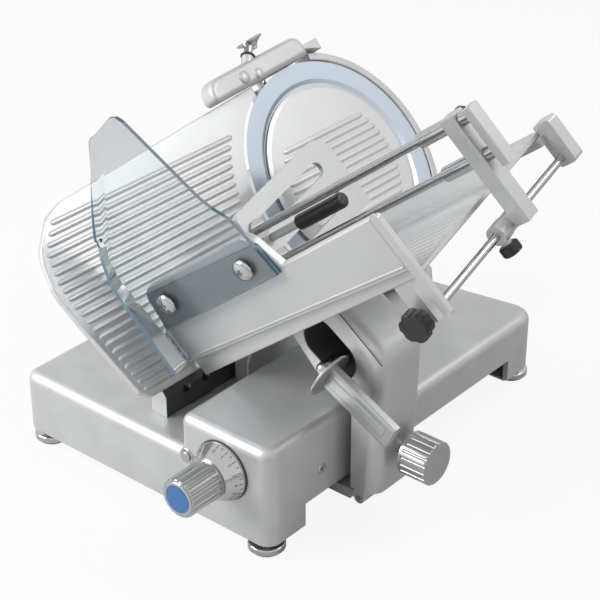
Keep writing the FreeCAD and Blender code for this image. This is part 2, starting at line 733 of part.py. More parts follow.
def guard_ring():
    """The rim guard round the blade, open where the food meets the edge."""
    length = s.ring_depth + s.ring_proud
    ring = tube((-s.ring_depth, 0, 0), "x", length, RING_OUTER, RING_INNER)
    reach = 2 * RING_OUTER
    start = math.radians(s.ring_to)
    stop = math.radians(s.ring_from + 360)
    wedge = [(0, 0)]
    for share in range(5):
        angle = start + (stop - start) * share / 4
        wedge.append((reach * math.cos(angle), reach * math.sin(angle)))
    open_side = extruded(wedge, "x", -s.ring_depth - 1, length + 2)
    ring = wrapped(cut(ring, open_side))
    rounded(ring, 1.5, at_level("x", s.ring_proud))
    return cut(ring, below_world(BLADE, s.base_top))


piece("guard_ring", guard_ring(), BLADE)


def spoke(angle, width):
    """An arm of the blade carrier, out to the rim guard."""
    turn = math.radians(angle)
    across = Vector(-math.sin(turn), math.cos(turn)) * (float(width) / 2)
    tip = Vector(math.cos(turn), math.sin(turn)) * float(RING_OUTER - 1)
    outline = [(-across.x, -across.y), (tip.x - across.x, tip.y - across.y),
               (tip.x + across.x, tip.y + across.y), (across.x, across.y)]
    return extruded(outline, "x", CARRIER_BACK, s.carrier_thick)


def blade_carrier():
    """The casting behind the blade: a disc with arms, a foot on the slab and a bearing boss."""
    disc = rod((CARRIER_BACK, 0, 0), "x", s.carrier_thick, s.carrier_radius)
    foot = box((CARRIER_BACK - 16, -s.carrier_half, -260), (-s.carrier_front, s.carrier_half, -40))
    boss = rod((-s.boss_end, 0, 0), "x", s.boss_end - s.carrier_front, s.boss_radius)
    arms = [spoke(angle, s.arm_width) for angle in (60, -20, -72)]
    sharpener_arm = box((CARRIER_BACK, s.post_y - 16, 0), (-s.carrier_front, s.post_y + 16, POST_LOW + 18))
    lug = box((-s.carrier_front - 1, s.post_y - 12, POST_LOW),
              (s.post_x + 8, s.post_y + 12, POST_LOW + 18))
    body = fuse(disc, foot, boss, about_axle(fuse(sharpener_arm, lug)), *arms)
    bearing_seats = [
        rod((-s.boss_end - 1, 0, 0), "x", s.bearing_thick + 1, s.bearing_radius),
        rod((-s.carrier_front - s.bearing_thick, 0, 0), "x", s.bearing_thick + 1, s.bearing_radius),
    ]
    through = rod((-s.boss_end - 1, 0, 0), "x", s.boss_end, s.bearing_radius - 5)
    post_hole = about_axle(rod((s.post_x, s.post_y, POST_LOW - 1), "z", 20, s.post_radius))
    return cut(body, below_world(BLADE, s.base_top), *bearing_seats, through, post_hole)


piece("blade_carrier", blade_carrier(), BLADE)


def blade_bearings():
    """Two bearings in the carrier's boss."""
    inner = s.blade_bore + s.fit
    return group(
        tube((-s.boss_end, 0, 0), "x", s.bearing_thick, s.bearing_radius, inner),
        tube((-s.carrier_front - s.bearing_thick, 0, 0), "x", s.bearing_thick, s.bearing_radius, inner),
    )


piece("blade_bearings", blade_bearings(), BLADE)
MOTOR = facing(BLADE, (0, 0, -s.motor_drop), (1, 0, 0))


def pulley(radius, hole):
    """A flat-belt pulley with low rims."""
    rim = radius + 1.5
    body = turned([
        (hole, PULLEY_BACK), (rim, PULLEY_BACK), (rim, PULLEY_BACK + 1), (radius, PULLEY_BACK + 1.5),
        (radius, -s.pulley_front - 1.5), (rim, -s.pulley_front - 1), (rim, -s.pulley_front),
        (hole, -s.pulley_front),
    ])
    return body


piece("driven_pulley", pulley(s.driven_radius, s.blade_bore), AXLE)
piece("drive_pulley", fuse(
    pulley(s.drive_radius, s.motor_shaft - 1),
    rod((0, 0, -s.motor_front - s.flange_thick), "z",
        s.motor_front + s.flange_thick - s.pulley_front + 2, s.motor_shaft),
), MOTOR)


def belt_loop(extra, start, length):
    """The outline round both pulleys, as two discs and the wedge between their tangents."""
    big = s.driven_radius + extra
    small = s.drive_radius + extra
    lean = math.asin(float(big - small) / float(s.motor_drop))
    side = Vector(math.cos(lean), -math.sin(lean))
    web = extruded([
        (-big * side.x, big * side.y), (-small * side.x, small * side.y - s.motor_drop),
        (small * side.x, small * side.y - s.motor_drop), (big * side.x, big * side.y),
    ], "x", start, length)
    return fuse(rod((start, 0, 0), "x", length, big), rod((start, 0, -s.motor_drop), "x", length, small), web)


def drive_belt():
    """The flat belt between the pulleys."""
    start = PULLEY_BACK + 2
    width = s.pulley_thick - 4
    outer = belt_loop(s.gap + s.belt_thick, start, width)
    return cut(outer, belt_loop(s.gap, start - 1, width + 2))


piece("drive_belt", drive_belt(), BLADE)


def motor():
    """The motor on its flange, with two standoffs to the carrier."""
    front = -s.motor_front
    can = bar_body((0, 0, front - s.flange_thick - s.motor_length), "z", s.motor_length, s.motor_radius)
    rounded(can, 5, at_level("z", front - s.flange_thick - s.motor_length))
    flange = box((-30, -s.standoff_y - 10, front - s.flange_thick), (30, s.standoff_y + 10, front))
    leg_length = s.motor_front + 1 + CARRIER_BACK - 16
    legs = [rod((0, side * s.standoff_y, front - 1), "z", leg_length, s.standoff_radius) for side in (-1, 1)]
    hole = rod((0, 0, front - s.flange_thick - 1), "z", s.flange_thick + 2, s.motor_shaft + s.gap)
    socket = rod((0, 0, front - s.flange_thick - 14), "z", 15, s.motor_shaft + s.gap)
    return cut(fuse(can, flange, *legs), hole, socket)


piece("motor", motor(), MOTOR)


def motor_cover():
    """The thin shell over the belt drive, open towards the carrier and the base."""
    front = CARRIER_BACK - 16
    back = -s.motor_cover_end
    half = s.carrier_half - 2
    shell = block_body((back, -half, -260), (front, half, s.motor_cover_top))
    rounded(shell, s.cover_corner,
            either(along("x", z=s.motor_cover_top), along("y", x=back, z=s.motor_cover_top)))
    wall = s.cover_wall
    roof = s.motor_cover_top - wall
    inside = block_body((back + wall, -half + wall, -261), (front + 1, half - wall, roof))
    rounded(inside, s.cover_corner - wall, either(along("x", z=roof), along("y", x=back + wall, z=roof)))
    rod_hole = rod((back - 1, 0, 0), "x", wall + 2, s.tie_rod + s.fit)
    return cut(shell, inside, below_world(BLADE, s.base_top), rod_hole)


piece("motor_cover", motor_cover(), BLADE)
KNOB_BACK = -s.motor_cover_end - s.gap
piece("cover_tie_rod",
      rod((0, 0, KNOB_BACK - 12), "z", -KNOB_BACK + 12 - s.cover_thick + 0.5, s.tie_rod), AXLE)


def tie_rod_knob():
    """The screw knob behind the head that draws the blade cover down."""
    knob = fluted_knob(s.tie_knob_radius, s.gap, s.tie_knob_thick, s.flute_radius, 12)
    return cut(knob, rod((0, 0, -1), "z", 14, s.tie_rod + s.fit))


piece("tie_rod_knob", tie_rod_knob(), facing(BLADE, (-s.motor_cover_end, 0, 0), (-1, 0, 0)))


# ---------------------------------------------------------------- blade sharpener

SHARP_LOW = s.blade_radius + s.sharp_low
SHARP_HIGH = s.blade_radius + s.sharp_high
STEM_HEAD = s.blade_radius + s.stem_head_z
STEM_FOOT = (s.stem_x, s.stem_foot_y, SHARP_HIGH)
LEAN = (0, s.stem_head_y - s.stem_foot_y, STEM_HEAD - SHARP_HIGH)
LEAN_LENGTH = math.hypot(LEAN[1], LEAN[2])


def on_lean(start, length, radius):
    """A round bar along the leaning axis of the sharpener's knob, from a distance past its foot."""
    bar = rod((0, 0, 0), "z", length, radius)
    share = start / LEAN_LENGTH
    point = Vector(STEM_FOOT[0], STEM_FOOT[1] + share * LEAN[1], STEM_FOOT[2] + share * LEAN[2])
    bar.Placement = Placement(point, Rotation(AXES["z"], Vector(*LEAN)))
    return bar


def sharpener_housing():
    """The long rounded cover before the gauge plate, with the part that straddles the blade's edge."""
    long_shell = block_body((s.sharp_clear, -s.sharp_front, SHARP_LOW),
                            (s.sharp_face, s.sharp_rear, SHARP_HIGH))
    rounded(long_shell, s.sharp_round, along("x", y=-s.sharp_front, z=SHARP_HIGH))
    rounded(long_shell, s.sharp_hump, along("x", y=s.sharp_rear, z=SHARP_HIGH))
    rounded(long_shell, s.shell_round + 1, along("x", y=-s.sharp_front, z=SHARP_LOW))
    rounded(long_shell, s.shell_round, at_level("x", s.sharp_face))
    saddle = block_body((-s.sharp_back, -s.saddle_front, SHARP_LOW),
                        (s.sharp_clear + 1, s.sharp_rear, SHARP_HIGH))
    rounded(saddle, 8, either(along("y", z=SHARP_HIGH), along("x", z=SHARP_HIGH)))
    reach = s.sharp_back + s.sharp_face + 2
    hollow = box((s.post_x + s.post_radius + 3, -48, SHARP_LOW - 1),
                 (s.sharp_face - 6, 20, SHARP_HIGH - 6))
    post_hole = rod((s.post_x, s.post_y, SHARP_LOW - 1), "z",
                    POST_HIGH - SHARP_LOW + 1 + s.gap, s.post_radius + s.fit)
    ear = box((10 - s.sharp_back, s.sharp_rear - 12, SHARP_LOW - 4),
              (s.sharp_face - 12, s.ear_rear, s.blade_radius + s.ear_high))
    ear = cut(ear, rod((-s.sharp_back - 1, 0, 0), "x", reach, RING_OUTER + s.ear_clear))
    boss = on_lean(-s.stem_root, s.stem_root + s.stem_boss_length, s.stem_boss)
    return fuse(cut(fuse(long_shell, saddle), hollow, post_hole), ear, boss)


piece("sharpener_housing", sharpener_housing(), SHARP)
piece("sharpener_post",
      rod((s.post_x, s.post_y, POST_LOW), "z", POST_HIGH - POST_LOW, s.post_radius), SHARP)


def sharpener_stones():
    """Two small grinding discs on their pins, one each side of the edge."""
    middle = s.blade_radius + s.edge_clear + s.stone_radius + 1
    back_wall = s.post_x + s.post_radius + 3
    face_wall = s.sharp_face - 6
    return group(
        fuse(rod((back_wall, 12, middle), "x", 6, 2),
             rod((back_wall + 4, 12, middle), "x", s.stone_thick, s.stone_radius)),
        fuse(rod((face_wall - 6, -8, middle), "x", 6, 2),
             rod((face_wall - 4 - s.stone_thick, -8, middle), "x", s.stone_thick, s.stone_radius)),
    )


piece("sharpener_stones", sharpener_stones(), SHARP)


def sharpener_knob():
    """A leaning stem under a flared round head."""
    start = s.stem_boss_length + s.gap
    stem = on_lean(start, LEAN_LENGTH - 4 - start, s.stem_radius)
    head = turned([
        (0, -13), (s.stem_radius, -13), (s.stem_radius + 3, -8), (s.stem_head - 2, -3),
        (s.stem_head, 0), (s.stem_head - 1, 2), (0, 2),
    ])
    head.Placement.Base = Vector(s.stem_x, s.stem_head_y, STEM_HEAD)
    return fuse(stem, head)


piece("sharpener_knob", sharpener_knob(), SHARP)


# ---------------------------------------------------------------- carriage slider, column and handle

TILT = (s.tilt_x, s.tilt_z)
ARM_FRONT = -s.arm_front
ARM_REAR = -s.arm_rear


def carriage_slider():
    """The block on the slide rod, its plate under the skirt and the tilt knuckle."""
    half = s.block_wide / 2
    block = box((s.slide_x - half, ARM_FRONT, s.block_low), (s.slide_x + half, ARM_REAR, s.block_high))
    plate = box((s.slide_x, ARM_FRONT, s.block_low), (s.tilt_x - s.knuckle - 6, ARM_REAR, s.block_low + 15))
    knuckle = rod((s.tilt_x, ARM_FRONT + 20, s.tilt_z), "y", s.arm_front - s.arm_rear - 40, s.knuckle)
    tongue = box((s.tilt_x - s.knuckle - 7, ARM_FRONT + 20, s.tilt_z - 6),
                 (s.tilt_x - 5, ARM_REAR - 20, s.tilt_z + 5))
    side_arm = box((s.roller_x + s.roller_wide / 2 + 3, ARM_FRONT + 30, s.block_low + 2),
                   (s.slide_x - half + 1, ARM_REAR - 30, s.block_low + 16))
    axle_height = s.base_bottom + s.gap + s.roller_radius
    axle = rod((s.roller_x - s.roller_wide / 2 - 2, (ARM_FRONT + ARM_REAR) / 2, axle_height), "x",
               s.roller_wide + 8, 4)
    bore_hole = rod((s.slide_x, ARM_FRONT - 1, s.slide_z), "y", s.arm_front - s.arm_rear + 2,
                    s.slide_rod + s.bush_wall)
    pin_hole = rod((s.tilt_x, ARM_FRONT, s.tilt_z), "y", s.arm_front - s.arm_rear, s.tilt_pin)
    return cut(fuse(block, plate, knuckle, tongue, side_arm, axle), bore_hole, pin_hole)


def slide_bushes():
    """Two bushes in the ends of the slider's bore."""
    outer = s.slide_rod + s.bush_wall
    inner = s.slide_rod + s.fit
    return group(
        tube((s.slide_x, ARM_FRONT, s.slide_z), "y", s.bush_length, outer, inner),
        tube((s.slide_x, ARM_REAR - s.bush_length, s.slide_z), "y", s.bush_length, outer, inner),
    )


piece("carriage_slider", carriage_slider())
piece("slide_bushes", slide_bushes())
piece("tilt_pin", rod((s.tilt_x, ARM_FRONT, s.tilt_z), "y", s.arm_front - s.arm_rear, s.tilt_pin))
piece("guide_roller", tube(
    (s.roller_x - s.roller_wide / 2, (ARM_FRONT + ARM_REAR) / 2, s.base_bottom + s.gap + s.roller_radius),
    "x", s.roller_wide, s.roller_radius, 4 + s.fit))


def recess():
    """A round-ended pocket tool in the column's front face."""
    turn = math.radians(s.recess_slope)
    along_way = Vector(math.cos(turn), -math.sin(turn))
    half = float(s.recess_length - s.recess_width) / 2
    radius = s.recess_width / 2
    ends = [(s.recess_x + reach * along_way.x, s.recess_z + reach * along_way.y) for reach in (-half, half)]
    across = Vector(-along_way.y, along_way.x) * float(radius)
    start = ARM_FRONT - 1
    middle = extruded([
        (ends[0][0] + across.x, ends[0][1] + across.y), (ends[0][0] - across.x, ends[0][1] - across.y),
        (ends[1][0] - across.x, ends[1][1] - across.y), (ends[1][0] + across.x, ends[1][1] + across.y),
    ], "y", start, s.recess_depth + 1)
    discs = [rod((x, start, z), "y", s.recess_depth + 1, radius) for x, z in ends]
    return fuse(middle, *discs)


def carriage_arm():
    """The column beside the base and the arm that carries the tray, in one casting."""
    depth = s.arm_front - s.arm_rear
    outline = [
        (s.column_left, s.column_bottom), (s.column_right, s.column_bottom),
        (s.shoulder_x - 3, s.shoulder_z - 101), (s.shoulder_x, s.shoulder_z),
        (s.shoulder_x - 159, s.shoulder_z + 101), (s.shoulder_x - 189, s.shoulder_z + 101),
        (s.shoulder_x - 189, s.shoulder_z + 22), (s.shoulder_x - 100, s.shoulder_z - 67),
        (s.column_left - 11, s.shoulder_z - 86), (s.column_left, s.shoulder_z - 102),
    ]
    solid = extruded(outline, "y", ARM_FRONT, depth)
    rounded(solid, s.shoulder_round, along("y", x=s.shoulder_x, z=s.shoulder_z))
    rounded(solid, s.column_corner, along_right_side)
    knuckles = []
    for start, length in ((ARM_FRONT, 20 - s.gap), (ARM_REAR - 20 + s.gap, 20 - s.gap)):
        knuckles.append(rod((s.tilt_x, start, s.tilt_z), "y", length, s.knuckle))
        knuckles.append(box((s.tilt_x - s.knuckle, start, s.tilt_z),
                            (s.tilt_x + s.knuckle, start + length, s.column_bottom + 1)))
    pin_hole = rod((s.tilt_x, ARM_FRONT - 1, s.tilt_z), "y", depth + 2, s.tilt_pin + s.fit)
    lock_hole = rod((s.column_left + 6, -s.lock_y, s.lock_z), "x", 60, s.lock_shaft + s.fit)
    whole = fuse(solid, *knuckles)
    underside = beyond(TRAY, WORLD, "z", -s.floor_top - s.floor_thick)
    return cut(whole, underside, recess(), pin_hole, lock_hole)


def along_right_side(edge):
    """Chooses the front and rear edges of the column's outer side."""
    if len(edge.Vertexes) != 2:
        return False
    first, last = edge.Vertexes[0].Point, edge.Vertexes[1].Point
    return min(first.x, last.x) > s.column_left + 10 and abs(first.y - last.y) < 0.01 and (
        abs(first.z - last.z) > 50) and max(first.z, last.z) < s.shoulder_z + 1


piece("carriage_arm", carriage_arm())

LOCK = facing(WORLD, (0, -s.lock_y, s.lock_z), (1, 0, 0))
piece("column_knob", fluted_knob(s.lock_knob_radius, s.lock_knob_from, s.lock_knob_to - s.lock_knob_from,
                                 s.flute_radius, s.knob_flutes), LOCK)
piece("column_shaft", rod((0, 0, s.column_left + 8), "z", s.lock_knob_from - s.column_left - 8,
                          s.lock_shaft), LOCK)

HANDLE_TURN = math.radians(s.handle_slope)
HANDLE_WAY = (math.cos(HANDLE_TURN), 0, -math.sin(HANDLE_TURN))
HANDLE = facing(WORLD, (s.handle_x, -s.handle_y, s.handle_z), HANDLE_WAY)


def carriage_handle():
    """The push handle: a round guard and a flat bar with eased edges."""
    disc = bar_body((0, 0, -s.handle_disc_thick), "z", s.handle_disc_thick, s.handle_disc)
    rounded(disc, 1.5, either(at_level("z", 0), at_level("z", -s.handle_disc_thick)))
    half = s.handle_wide / 2
    thick = s.handle_thick / 2
    bar = block_body((-half, -thick, -1), (half, thick, s.handle_length))
    rounded(bar, 4, along("z"))
    rounded(bar, 1.5, at_level("z", s.handle_length))
    return fuse(disc, bar)


def handle_root():
    """The round stub that carries the handle out of the column's recess."""
    stub_length = s.handle_y - s.arm_front + s.recess_depth
    neck = rod((0, 0, -s.handle_neck), "z", s.handle_neck - s.handle_disc_thick, s.handle_root)
    stub = rod((0, 0, -s.handle_neck), "y", stub_length, s.handle_root)
    cap = DOC.addObject("Part::Sphere", new_name("elbow"))
    bind(cap, Radius=s.handle_root)
    put(cap, (0, 0, -s.handle_neck))
    return fuse(neck, stub, cap)


piece("carriage_handle", carriage_handle(), HANDLE)
piece("handle_root", handle_root(), HANDLE)


# ---------------------------------------------------------------- tray

WALL = -s.wall_face
FLOOR = -s.floor_top
UNDER = FLOOR - s.floor_thick


def tray_wall():
    """The side wall nearest the operator, raised at its low end where the hand guard is fixed."""
    start = s.tray_start
    outline = [
        (start, -s.wall_low_left), (s.wall_end, -s.wall_low_right), (s.wall_end, s.wall_top),
        (s.raised_right + 6, s.wall_top - 2), (s.raised_right - 12, s.raised_top),
        (s.raised_left, s.raised_top), (start + 6, s.wall_top), (start, s.wall_top - 14),
    ]
    wall = extruded(outline, "y", WALL, s.wall_thick)
    rounded(wall, s.raised_round, either(
        along("y", x=s.raised_left, z=s.raised_top), along("y", x=s.raised_right - 12, z=s.raised_top)))
    rounded(wall, 3, at_level("y", WALL))
    web = box((start, WALL + s.wall_thick / 2, FLOOR),
              (s.wall_end, WALL + s.wall_thick, 8 - s.wall_low_left))
    holes = [rod((x, WALL - 1, z), "y", s.wall_thick + 2, s.dome_radius / 3) for x, z in dome_centres()]
    return cut(fuse(wall, web), *holes)


def dome_centres():
    """Where the two guard screws pass through the wall."""
    return [(s.dome_near, s.dome_near_z), (s.dome_far, s.dome_far_z)]


def tray_floor():
    """The floor sheet, with the lug under it for the tray knob."""
    start = s.tray_start
    sheet = block_body((start, WALL + s.wall_thick / 2, UNDER), (s.floor_end, -s.floor_far, FLOOR))
    rounded(sheet, s.floor_round, along("z", x=s.floor_end, y=-s.floor_far))
    rounded(sheet, 2, at_level("z", UNDER))
    half = s.rail_lug_wide / 2
    lug = box((s.rail_knob_x - half, WALL + 8, -s.rail_knob_z - half),
              (s.rail_knob_x + half, WALL + 26, UNDER + 1))
    hole = rod((s.rail_knob_x, WALL + 7, -s.rail_knob_z), "y", 20, s.rail_radius - 1 + s.fit)
    return cut(fuse(sheet, lug), hole)


def tray_end_bar():
    """The upright bar at the wall's outer end, which carries the pusher rail."""
    bar = block_body((s.end_bar_from, WALL, -s.end_bar_low),
                     (s.end_bar_to, WALL + s.end_bar_wide, s.wall_top))
    return rounded(bar, 4, either(along("y", z=-s.end_bar_low), along("y", z=s.wall_top)))


def far_bracket():
    """The bracket under the floor's far edge, for the rail's other end."""
    far = -s.bracket_far
    bar = block_body((s.end_bar_from - 4, far - 20, -s.end_bar_low + 6), (s.end_bar_to + 12, far, FLOOR + 8))
    rounded(bar, 5, along("y"))
    arm = box((s.floor_end - 60, -s.floor_far - 20, UNDER - 11), (s.end_bar_from + 4, far, UNDER))
    rail_hole = rod((s.rail_x, far - 21, -s.rail_z), "y", 22, s.rail_radius)
    return cut(fuse(bar, arm), rail_hole)


piece("tray_wall", tray_wall(), TRAY)
piece("tray_floor", tray_floor(), TRAY)
piece("tray_end_bar", tray_end_bar(), TRAY)
piece("far_bracket", far_bracket(), TRAY)
RAIL_START = WALL + s.end_bar_wide
piece("pusher_rail",
      rod((s.rail_x, RAIL_START, -s.rail_z), "y", -RAIL_START - s.bracket_far, s.rail_radius), TRAY)


def lobed_knob(radius, start, length, stem, stem_length):
    """A six-lobed knob along z with a stem below it."""
    body = bar_body((0, 0, start), "z", length, radius)
    rounded(body, 3, either(at_level("z", start), at_level("z", start + length)))
    fluted(body, radius * 1.24, start - 1, length + 2, radius * 0.42, s.knob_lobes)
    return fuse(body, rod((0, 0, start - stem_length), "z", stem_length + 1, stem))


TRAY_KNOB = facing(TRAY, (s.rail_knob_x, WALL, -s.rail_knob_z), (0, -1, 0))
piece("tray_knob", lobed_knob(s.rail_knob_radius, 2, 19, s.rail_radius - 1, 27), TRAY_KNOB)


# ---------------------------------------------------------------- hand guard

GUARD_BACK = WALL - s.guard_gap
GUARD_FACE = GUARD_BACK - s.guard_thick


def hand_guard():
    """The clear guard over the operator's hand, with its fixing strip and its folded flap."""
    low = -s.wall_low_left
    outline = [
        (s.tray_start + 3, s.wall_top + 3), (s.tray_start + 6, 171), (59, 225), (132, 293), (144, 295),
        (192, 295), (204, 290), (209, 281), (234, 156), (243, 135), (251, 123), (256, 108),
        (s.raised_right - 2, 66), (s.raised_right, s.strip_low - 5),
    ]
    sheet = extruded(outline, "y", GUARD_FACE, s.guard_thick)
    strip = box((s.raised_left, GUARD_BACK - 1, s.strip_low), (s.raised_right, WALL, s.strip_high))
    flap = extruded([
        (GUARD_FACE + 1, 171), (GUARD_FACE - s.guard_flap / 2, 112), (GUARD_FACE - s.guard_flap, -10),
        (GUARD_FACE - s.guard_flap + 7, low + 7), (GUARD_FACE + 1, low + 7),
    ], "x", s.tray_start + 3, s.guard_thick)
    lower = box((s.tray_start + 3, GUARD_FACE, low + 7),
                (s.tray_start + 3 + s.guard_thick, GUARD_BACK, s.wall_top + 10))
    holes = [rod((x, GUARD_FACE - 1, z), "y", s.guard_thick + s.guard_gap + 2, s.dome_radius / 3 + s.fit)
             for x, z in dome_centres()]
    return cut(fuse(sheet, strip, flap, lower), *holes)


def guard_screws():
    """Two domed screws through the guard into the wall."""
    solids = []
    for x, z in dome_centres():
        head = bar_body((x, GUARD_FACE - 6, z), "y", 6, s.dome_radius)
        rounded(head, 5, at_level("y", GUARD_FACE - 6))
        length = s.guard_thick + s.guard_gap + s.wall_thick
        solids.append(fuse(head, rod((x, GUARD_FACE - 1, z), "y", length, s.dome_radius / 3)))
    return group(*solids)


piece("hand_guard", hand_guard(), TRAY)
piece("guard_screws", guard_screws(), TRAY)


# ---------------------------------------------------------------- food pusher

BEAM = s.beam_inset - s.plate_near
BEAM_NEAR = BEAM - s.beam_half
ROD_LEVELS = (s.rod_one_z, s.rod_two_z)
GRIP_START = s.plate_from + s.plate_wide
GRIP_Y = s.grip_inset - s.plate_near
RUN = s.rod_radius + s.fit
BEAM_MIDDLE = (s.beam_from + s.beam_to) / 2


def pusher_arm():
    """The beam that swings about the rail and guides the two feed rods."""
    width = 2 * s.beam_half
    beam = block_body((s.beam_from, BEAM_NEAR, -s.beam_low), (s.beam_to, BEAM_NEAR + width, s.beam_top))
    rounded(beam, 3, along("z"))
    outer = s.rail_radius + s.hub_wall
    hub = rod((s.rail_x, BEAM_NEAR, -s.rail_z), "y", width, outer)
    neck = box((s.rail_x, BEAM_NEAR, 6 - s.beam_low), (s.beam_from + 4, BEAM_NEAR + width, outer - s.rail_z))
    rail_hole = rod((s.rail_x, BEAM_NEAR - 1, -s.rail_z), "y", width + 2, s.rail_radius + s.fit)
    rod_holes = [rod((s.beam_from - 1, BEAM, level), "x", s.beam_to - s.beam_from + 2, RUN)
                 for level in ROD_LEVELS]
    knob_hole = rod((BEAM_MIDDLE, BEAM + s.beam_half - 4, s.rod_one_z), "y", 5, s.rod_knob_stem + s.fit)
    return cut(fuse(beam, hub, neck), rail_hole, *rod_holes, knob_hole)


piece("pusher_arm", pusher_arm(), TRAY)
piece("rod_sleeves", group(*[
    tube((s.beam_from - s.sleeve_length, BEAM, level), "x", s.sleeve_length, s.sleeve_radius, RUN)
    for level in ROD_LEVELS
]), TRAY)


def rail_collar():
    """The collar beside the beam, which the lock knob clamps on the rail."""
    start = BEAM_NEAR - s.gap - s.collar_wide
    outer = s.rail_radius + s.hub_wall + 1
    ring = rod((s.rail_x, start, -s.rail_z), "y", s.collar_wide, outer)
    lug = rod((s.rail_x, start + s.collar_lug_y, -s.rail_z - outer - 3), "z", outer, s.collar_lug)
    hole = rod((s.rail_x, start - 1, -s.rail_z), "y", s.collar_wide + 2, s.rail_radius + s.fit)
    socket = rod((s.rail_x, start + s.collar_lug_y, -s.rail_z - outer - 4), "z", 8, 4 + s.fit)
    return cut(fuse(ring, lug), hole, socket)


piece("rail_collar", rail_collar(), TRAY)
COLLAR_LOW = -s.rail_z - s.rail_radius - s.hub_wall - 4
LUG_Y = BEAM_NEAR - s.gap - s.collar_wide + s.collar_lug_y
ARM_KNOB = facing(TRAY, (s.rail_x, LUG_Y, COLLAR_LOW), (0, 0, -1))
piece("arm_lock_knob", lobed_knob(s.arm_knob_radius, s.gap, 14, 4, 6), ARM_KNOB)

piece("feed_rods", group(*[
    rod((s.rod_start, BEAM, level), "x", s.rod_end - s.rod_start, s.rod_radius) for level in ROD_LEVELS
]), TRAY)


def yoke_bar():
    """The bar that ties the outer ends of the feed rods."""
    bar = block_body((s.yoke_from, BEAM - s.yoke_half, -s.yoke_low),
                     (s.yoke_to, BEAM + s.yoke_half, s.yoke_top))
    rounded(bar, 3, along("z"))
    holes = [rod((s.yoke_from - 1, BEAM, level), "x", s.rod_end - s.yoke_from + 1, s.rod_radius)
             for level in ROD_LEVELS]
    return cut(bar, *holes)


piece("yoke_bar", yoke_bar(), TRAY)
ROD_KNOB = facing(TRAY, (BEAM_MIDDLE, BEAM + s.beam_half, s.rod_one_z), (0, 1, 0))
piece("rod_lock_knob", lobed_knob(s.rod_knob_radius, s.gap, 10, s.rod_knob_stem, 4), ROD_KNOB)


def rod_fittings():
    """Stop collars inside the yoke, and flanged bushes that hold the pusher plate by its slots."""
    outer = s.slot_half - s.gap
    flange = s.slot_half + 4
    solids = []
    for level in ROD_LEVELS:
        inner_flange = rod((s.rod_start, BEAM, level), "x", s.plate_from - s.gap - s.rod_start, flange)
        barrel = rod((s.rod_start, BEAM, level), "x", s.plate_from + s.plate_wide + 4 - s.rod_start, outer)
        outer_flange = rod((s.plate_from + s.plate_wide + s.gap, BEAM, level), "x", 4, flange)
        hole = rod((s.rod_start - 1, BEAM, level), "x", 40, s.rod_radius)
        solids.append(cut(fuse(inner_flange, barrel, outer_flange), hole))
        stop = s.beam_to + s.gap
        solids.append(tube((stop, BEAM, level), "x", s.yoke_from - stop, s.stop_radius, s.rod_radius))
    return group(*solids)


def slot(level):
    """A round-ended slot tool across the pusher plate."""
    start = s.plate_from - 1
    thick = s.plate_wide + 2
    near = s.slot_near + s.slot_half - s.plate_near
    far = -s.plate_far - s.slot_far - s.slot_half
    middle = box((start, near, level - s.slot_half), (start + thick, far, level + s.slot_half))
    return fuse(middle, *[rod((start, y, level), "x", thick, s.slot_half) for y in (near, far)])


def pusher_plate():
    """The slotted plate behind the food, with short spikes on its face."""
    plate = block_body((s.plate_from, -s.plate_near, -s.plate_low),
                       (s.plate_from + s.plate_wide, -s.plate_far, s.plate_top))
    rounded(plate, s.plate_corner, along("x", y=-s.plate_far, z=s.plate_top))
    rounded(plate, 8, along("x", y=-s.plate_near))
    spikes = []
    for number in range(4):
        y = -s.plate_near + 30 + number * (s.plate_near - s.plate_far - 60) / 3
        for level in (12 - s.plate_low, s.rod_two_z + 27):
            root = (s.plate_from + 1, y, level)
            spikes.append(rod(root, "x", s.spike_length, s.spike_radius, s.spike_radius / 4))
    for spike in spikes:
        spike.Placement.Rotation = Rotation(AXES["z"], Vector(-1, 0, 0))
    shank = rod((GRIP_START - 1, GRIP_Y, s.grip_z), "x", s.shank_length + 1, s.shank_radius)
    return cut(fuse(plate, shank, *spikes), *[slot(level) for level in ROD_LEVELS])


piece("rod_fittings", rod_fittings(), TRAY)
piece("pusher_plate", pusher_plate(), TRAY)
GRIP_NEAR = GRIP_START + s.shank_length
piece("pusher_grip", rounded(
    bar_body((GRIP_NEAR, GRIP_Y, s.grip_z), "x", s.grip_length, s.grip_radius),
    5, either(at_level("x", GRIP_NEAR), at_level("x", GRIP_NEAR + s.grip_length)),
), TRAY)


# ---------------------------------------------------------------- finish

DOC.recompute()
for thing in DOC.Objects:
    if failed(thing):
        raise ValueError(f"{thing.Name} did not build")
extent = FreeCAD.BoundBox()
for label, solid, frame in PIECES:
    solid.Label = label
    solid.Placement = frame * solid.Placement
    extent.add(solid.Shape.optimalBoundingBox(False, False))
# The row's origin is the middle of the whole machine's box, on the table.
origin = Vector(extent.Center.x, extent.Center.y, extent.ZMin)
for label, solid, frame in PIECES:
    solid.Placement.Base = solid.Placement.Base - origin
DOC.recompute()
os.makedirs("parts", exist_ok=True)
for label, solid, frame in PIECES:
    shape = solid.Shape
    if shape.isNull() or not shape.isValid() or failed(solid):
        raise ValueError(f"{label} has no valid shape")
    shape.exportStep(f"parts/{label}.step")
    print(f"{label:22s} {len(shape.Solids):2d} solids {shape.Volume / 1000:9.2f} cm3")
print("origin", list(origin))
print("box", extent)
